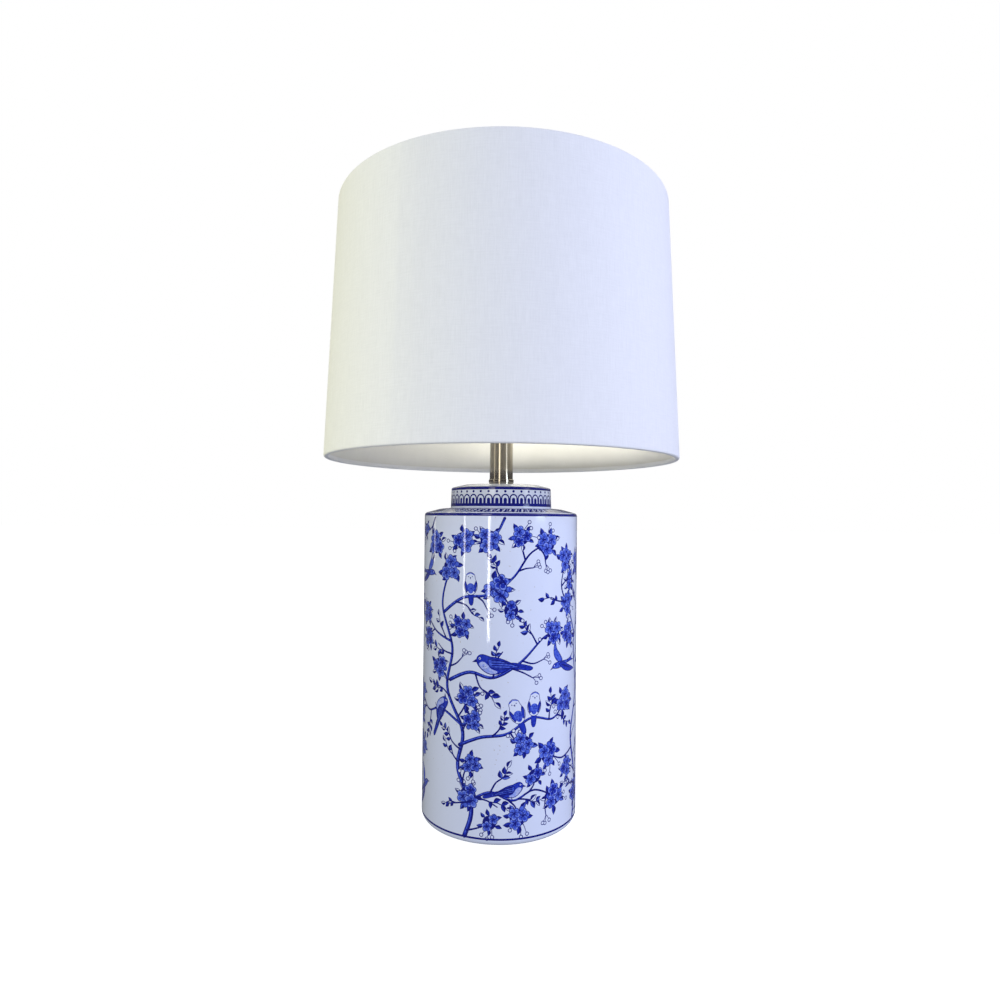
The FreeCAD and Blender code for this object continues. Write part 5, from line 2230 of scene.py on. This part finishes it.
def place_camera(photo: Photo) -> None:
    """Sets the camera where the photograph was taken from.

    Args:
        photo: the fitted camera.
    """
    data = bpy.data.cameras.new("camera")
    data.sensor_width = photo.sensor_mm
    data.lens = photo.focal_px / photo.frame_px * photo.sensor_mm
    data.clip_start, data.clip_end = 0.01, 50.0
    camera = added("camera", data)
    pitch, yaw, roll = (math.radians(turn) for turn in (photo.pitch_deg, photo.yaw_deg, photo.roll_deg))
    ahead = Vector((math.sin(yaw) * math.cos(pitch), math.cos(yaw) * math.cos(pitch), math.sin(pitch)))
    right = Vector((math.cos(yaw), -math.sin(yaw), 0.0))
    up = right.cross(ahead)
    across = right * math.cos(roll) + up * math.sin(roll)
    upright = up * math.cos(roll) - right * math.sin(roll)
    turn = Matrix((across, upright, -ahead)).transposed()
    place = Vector((0.0, -photo.distance_mm, photo.height_mm)) * MM
    camera.matrix_world = Matrix.Translation(place) @ turn.to_4x4()
    bpy.context.scene.camera = camera


@dataclass(frozen=True)
class Softbox:
    """A rectangular area light that faces a height on the lamp's axis, its aim.

    Its bearing is in degrees round from the front, with right positive, and its distance from the axis, its
    height and its size are in metres. Radiance is the brightness of its face, which glaze and metal show
    only if it is mirrored. Its light falls on all pieces, or only on those that are named.
    """

    name: str
    bearing: float
    distance: float
    height: float
    size: tuple[float, float]
    radiance: float
    colour: Colour
    aim: float = 0.35
    mirrored: bool = False
    only: tuple[str, ...] = ()

    def light(self) -> bpy.types.Object:
        """Makes the light.

        Returns:
            The light.
        """
        data = bpy.data.lights.new(self.name, "AREA")
        data.shape = "RECTANGLE"
        data.size, data.size_y = self.size
        data.energy = self.radiance * math.pi * self.size[0] * self.size[1]
        data.color = self.colour
        lamp = added(self.name, data)
        bearing = math.radians(self.bearing)
        lamp.location = (math.sin(bearing) * self.distance, -math.cos(bearing) * self.distance, self.height)
        towards = Vector((0.0, 0.0, self.aim)) - lamp.location
        lamp.rotation_euler = towards.to_track_quat("-Z", "Y").to_euler()
        lamp.visible_camera = False
        lamp.visible_glossy = self.mirrored
        if self.only:
            receivers = bpy.data.collections.new(f"{self.name}_receivers")
            for name in self.only:
                receivers.objects.link(bpy.data.objects[name])
            lamp.light_linking.receiver_collection = receivers
        return lamp


SHADE_OUTSIDE = ("woven_skin", "linen_lap")
SHADE_INSIDE = ("backing_liner", "liner_lap")
SOFTBOXES: tuple[Softbox, ...] = (
    Softbox("warm_window", -78, 1.7, 0.75, (1.1, 1.5), 1.35, (1.0, 0.97, 0.62)),
    Softbox("warm_on_shade", -78, 1.7, 0.75, (1.1, 1.5), 3.1, (1.0, 1.0, 0.58), only=SHADE_OUTSIDE),
    Softbox("cool_window", 78, 1.7, 0.75, (1.1, 1.5), 3.8, (0.68, 0.71, 1.0)),
    Softbox("front_room", 14, 2.6, 1.3, (1.8, 1.2), 5.1, (0.70, 0.76, 1.0)),
    Softbox("rear_room", 180, 2.6, 1.3, (1.8, 1.2), 2.8, (0.94, 0.96, 1.0)),
    Softbox("under_shade", 148, 0.075, 0.384, (0.15, 0.10), 11.0, (1.0, 0.98, 0.86), 5.0, only=SHADE_INSIDE),
    Softbox("left_strip", -16, 0.92, 0.2, (0.05, 0.30), 14.0, (1.0, 1.0, 1.0), 0.2, True),
    Softbox("left_slats", -52, 1.2, 0.2, (0.05, 0.25), 9.0, (1.0, 0.98, 0.94), 0.2, True),
    Softbox("far_slat", -112, 1.4, 0.28, (0.06, 0.2), 3.0, (1.0, 0.98, 0.9), 0.28, True),
    Softbox("small_pane", 58, 1.45, 0.385, (0.36, 0.13), 8.0, (0.70, 0.86, 1.0), 0.385, True),
    Softbox("neck_left", -68, 0.15, 0.395, (0.022, 0.085), 0.9, (1.0, 0.92, 0.72), 0.395, True),
    Softbox("neck_middle", -17, 0.15, 0.395, (0.030, 0.085), 2.6, (1.0, 0.94, 0.78), 0.395, True),
    Softbox("neck_right", 51, 0.15, 0.395, (0.026, 0.085), 1.7, (0.9, 0.96, 1.0), 0.395, True),
)
SURROUNDING: Colour = (0.32, 0.335, 0.385)
REFLECTED: Colour = (0.15, 0.15, 0.165)


def light_surroundings() -> None:
    """Even light from all round, which the camera sees as plain white and gloss as a dim room."""
    world = bpy.data.worlds.new("studio")
    world.use_nodes = True
    builder = TreeBuilder(world.node_tree)
    out = next(n for n in world.node_tree.nodes if n.type == "OUTPUT_WORLD")
    even, dim, white = (
        builder.node("ShaderNodeBackground", values={"Color": colour, "Strength": 1.0}).outputs[0]
        for colour in (SURROUNDING, REFLECTED, (1.0, 1.0, 1.0))
    )
    ray = builder.node("ShaderNodeLightPath").outputs
    lit = builder.node("ShaderNodeMixShader", values={0: ray["Is Glossy Ray"], 1: even, 2: dim}).outputs[0]
    mix = builder.node("ShaderNodeMixShader", values={0: ray["Is Camera Ray"], 1: lit, 2: white})
    builder.feed(out.inputs["Surface"], mix.outputs[0])
    bpy.context.scene.world = world


def make_floor() -> bpy.types.Object:
    """A plain white floor.

    Returns:
        The floor.
    """
    mesh = bpy.data.meshes.new("floor")
    corners = [(x * 15.0, y * 15.0, 0.0) for x, y in ((-1, -1), (1, -1), (1, 1), (-1, 1))]
    mesh.from_pydata(corners, [], [(0, 1, 2, 3)])
    tree = ShaderTree("floor", Finish((0.94, 0.94, 0.94), 0.95, glow=0.8))
    grain = tree.noise(tree.place(), 0.2, 2.0)
    tree.paint("Base Color", tree.mixed(grain, (0.95, 0.95, 0.95), (0.93, 0.93, 0.93)))
    mesh.materials.append(tree.material)
    floor = added("floor", mesh)
    floor.visible_diffuse = floor.visible_glossy = False
    return floor


def set_stage() -> None:
    """Floor, surroundings, softboxes and a plain photographic rendering of brightness."""
    bpy.context.scene.view_settings.view_transform = "Standard"
    light_surroundings()
    make_floor()
    for box in SOFTBOXES:
        box.light()


def main() -> None:
    """Builds the lamp's looks round its frame."""
    logging.basicConfig(level=logging.INFO, format="%(name)s: %(message)s")
    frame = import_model()
    Jar().build()
    Lid().build()
    build_neck()
    Shade().build()
    for piece in threaded_pieces():
        piece.build()
    SocketRibs().build(frame)
    dress_cad_nodes(frame)
    place_camera(Photo())
    set_stage()


if __name__ == "__main__":
    main()
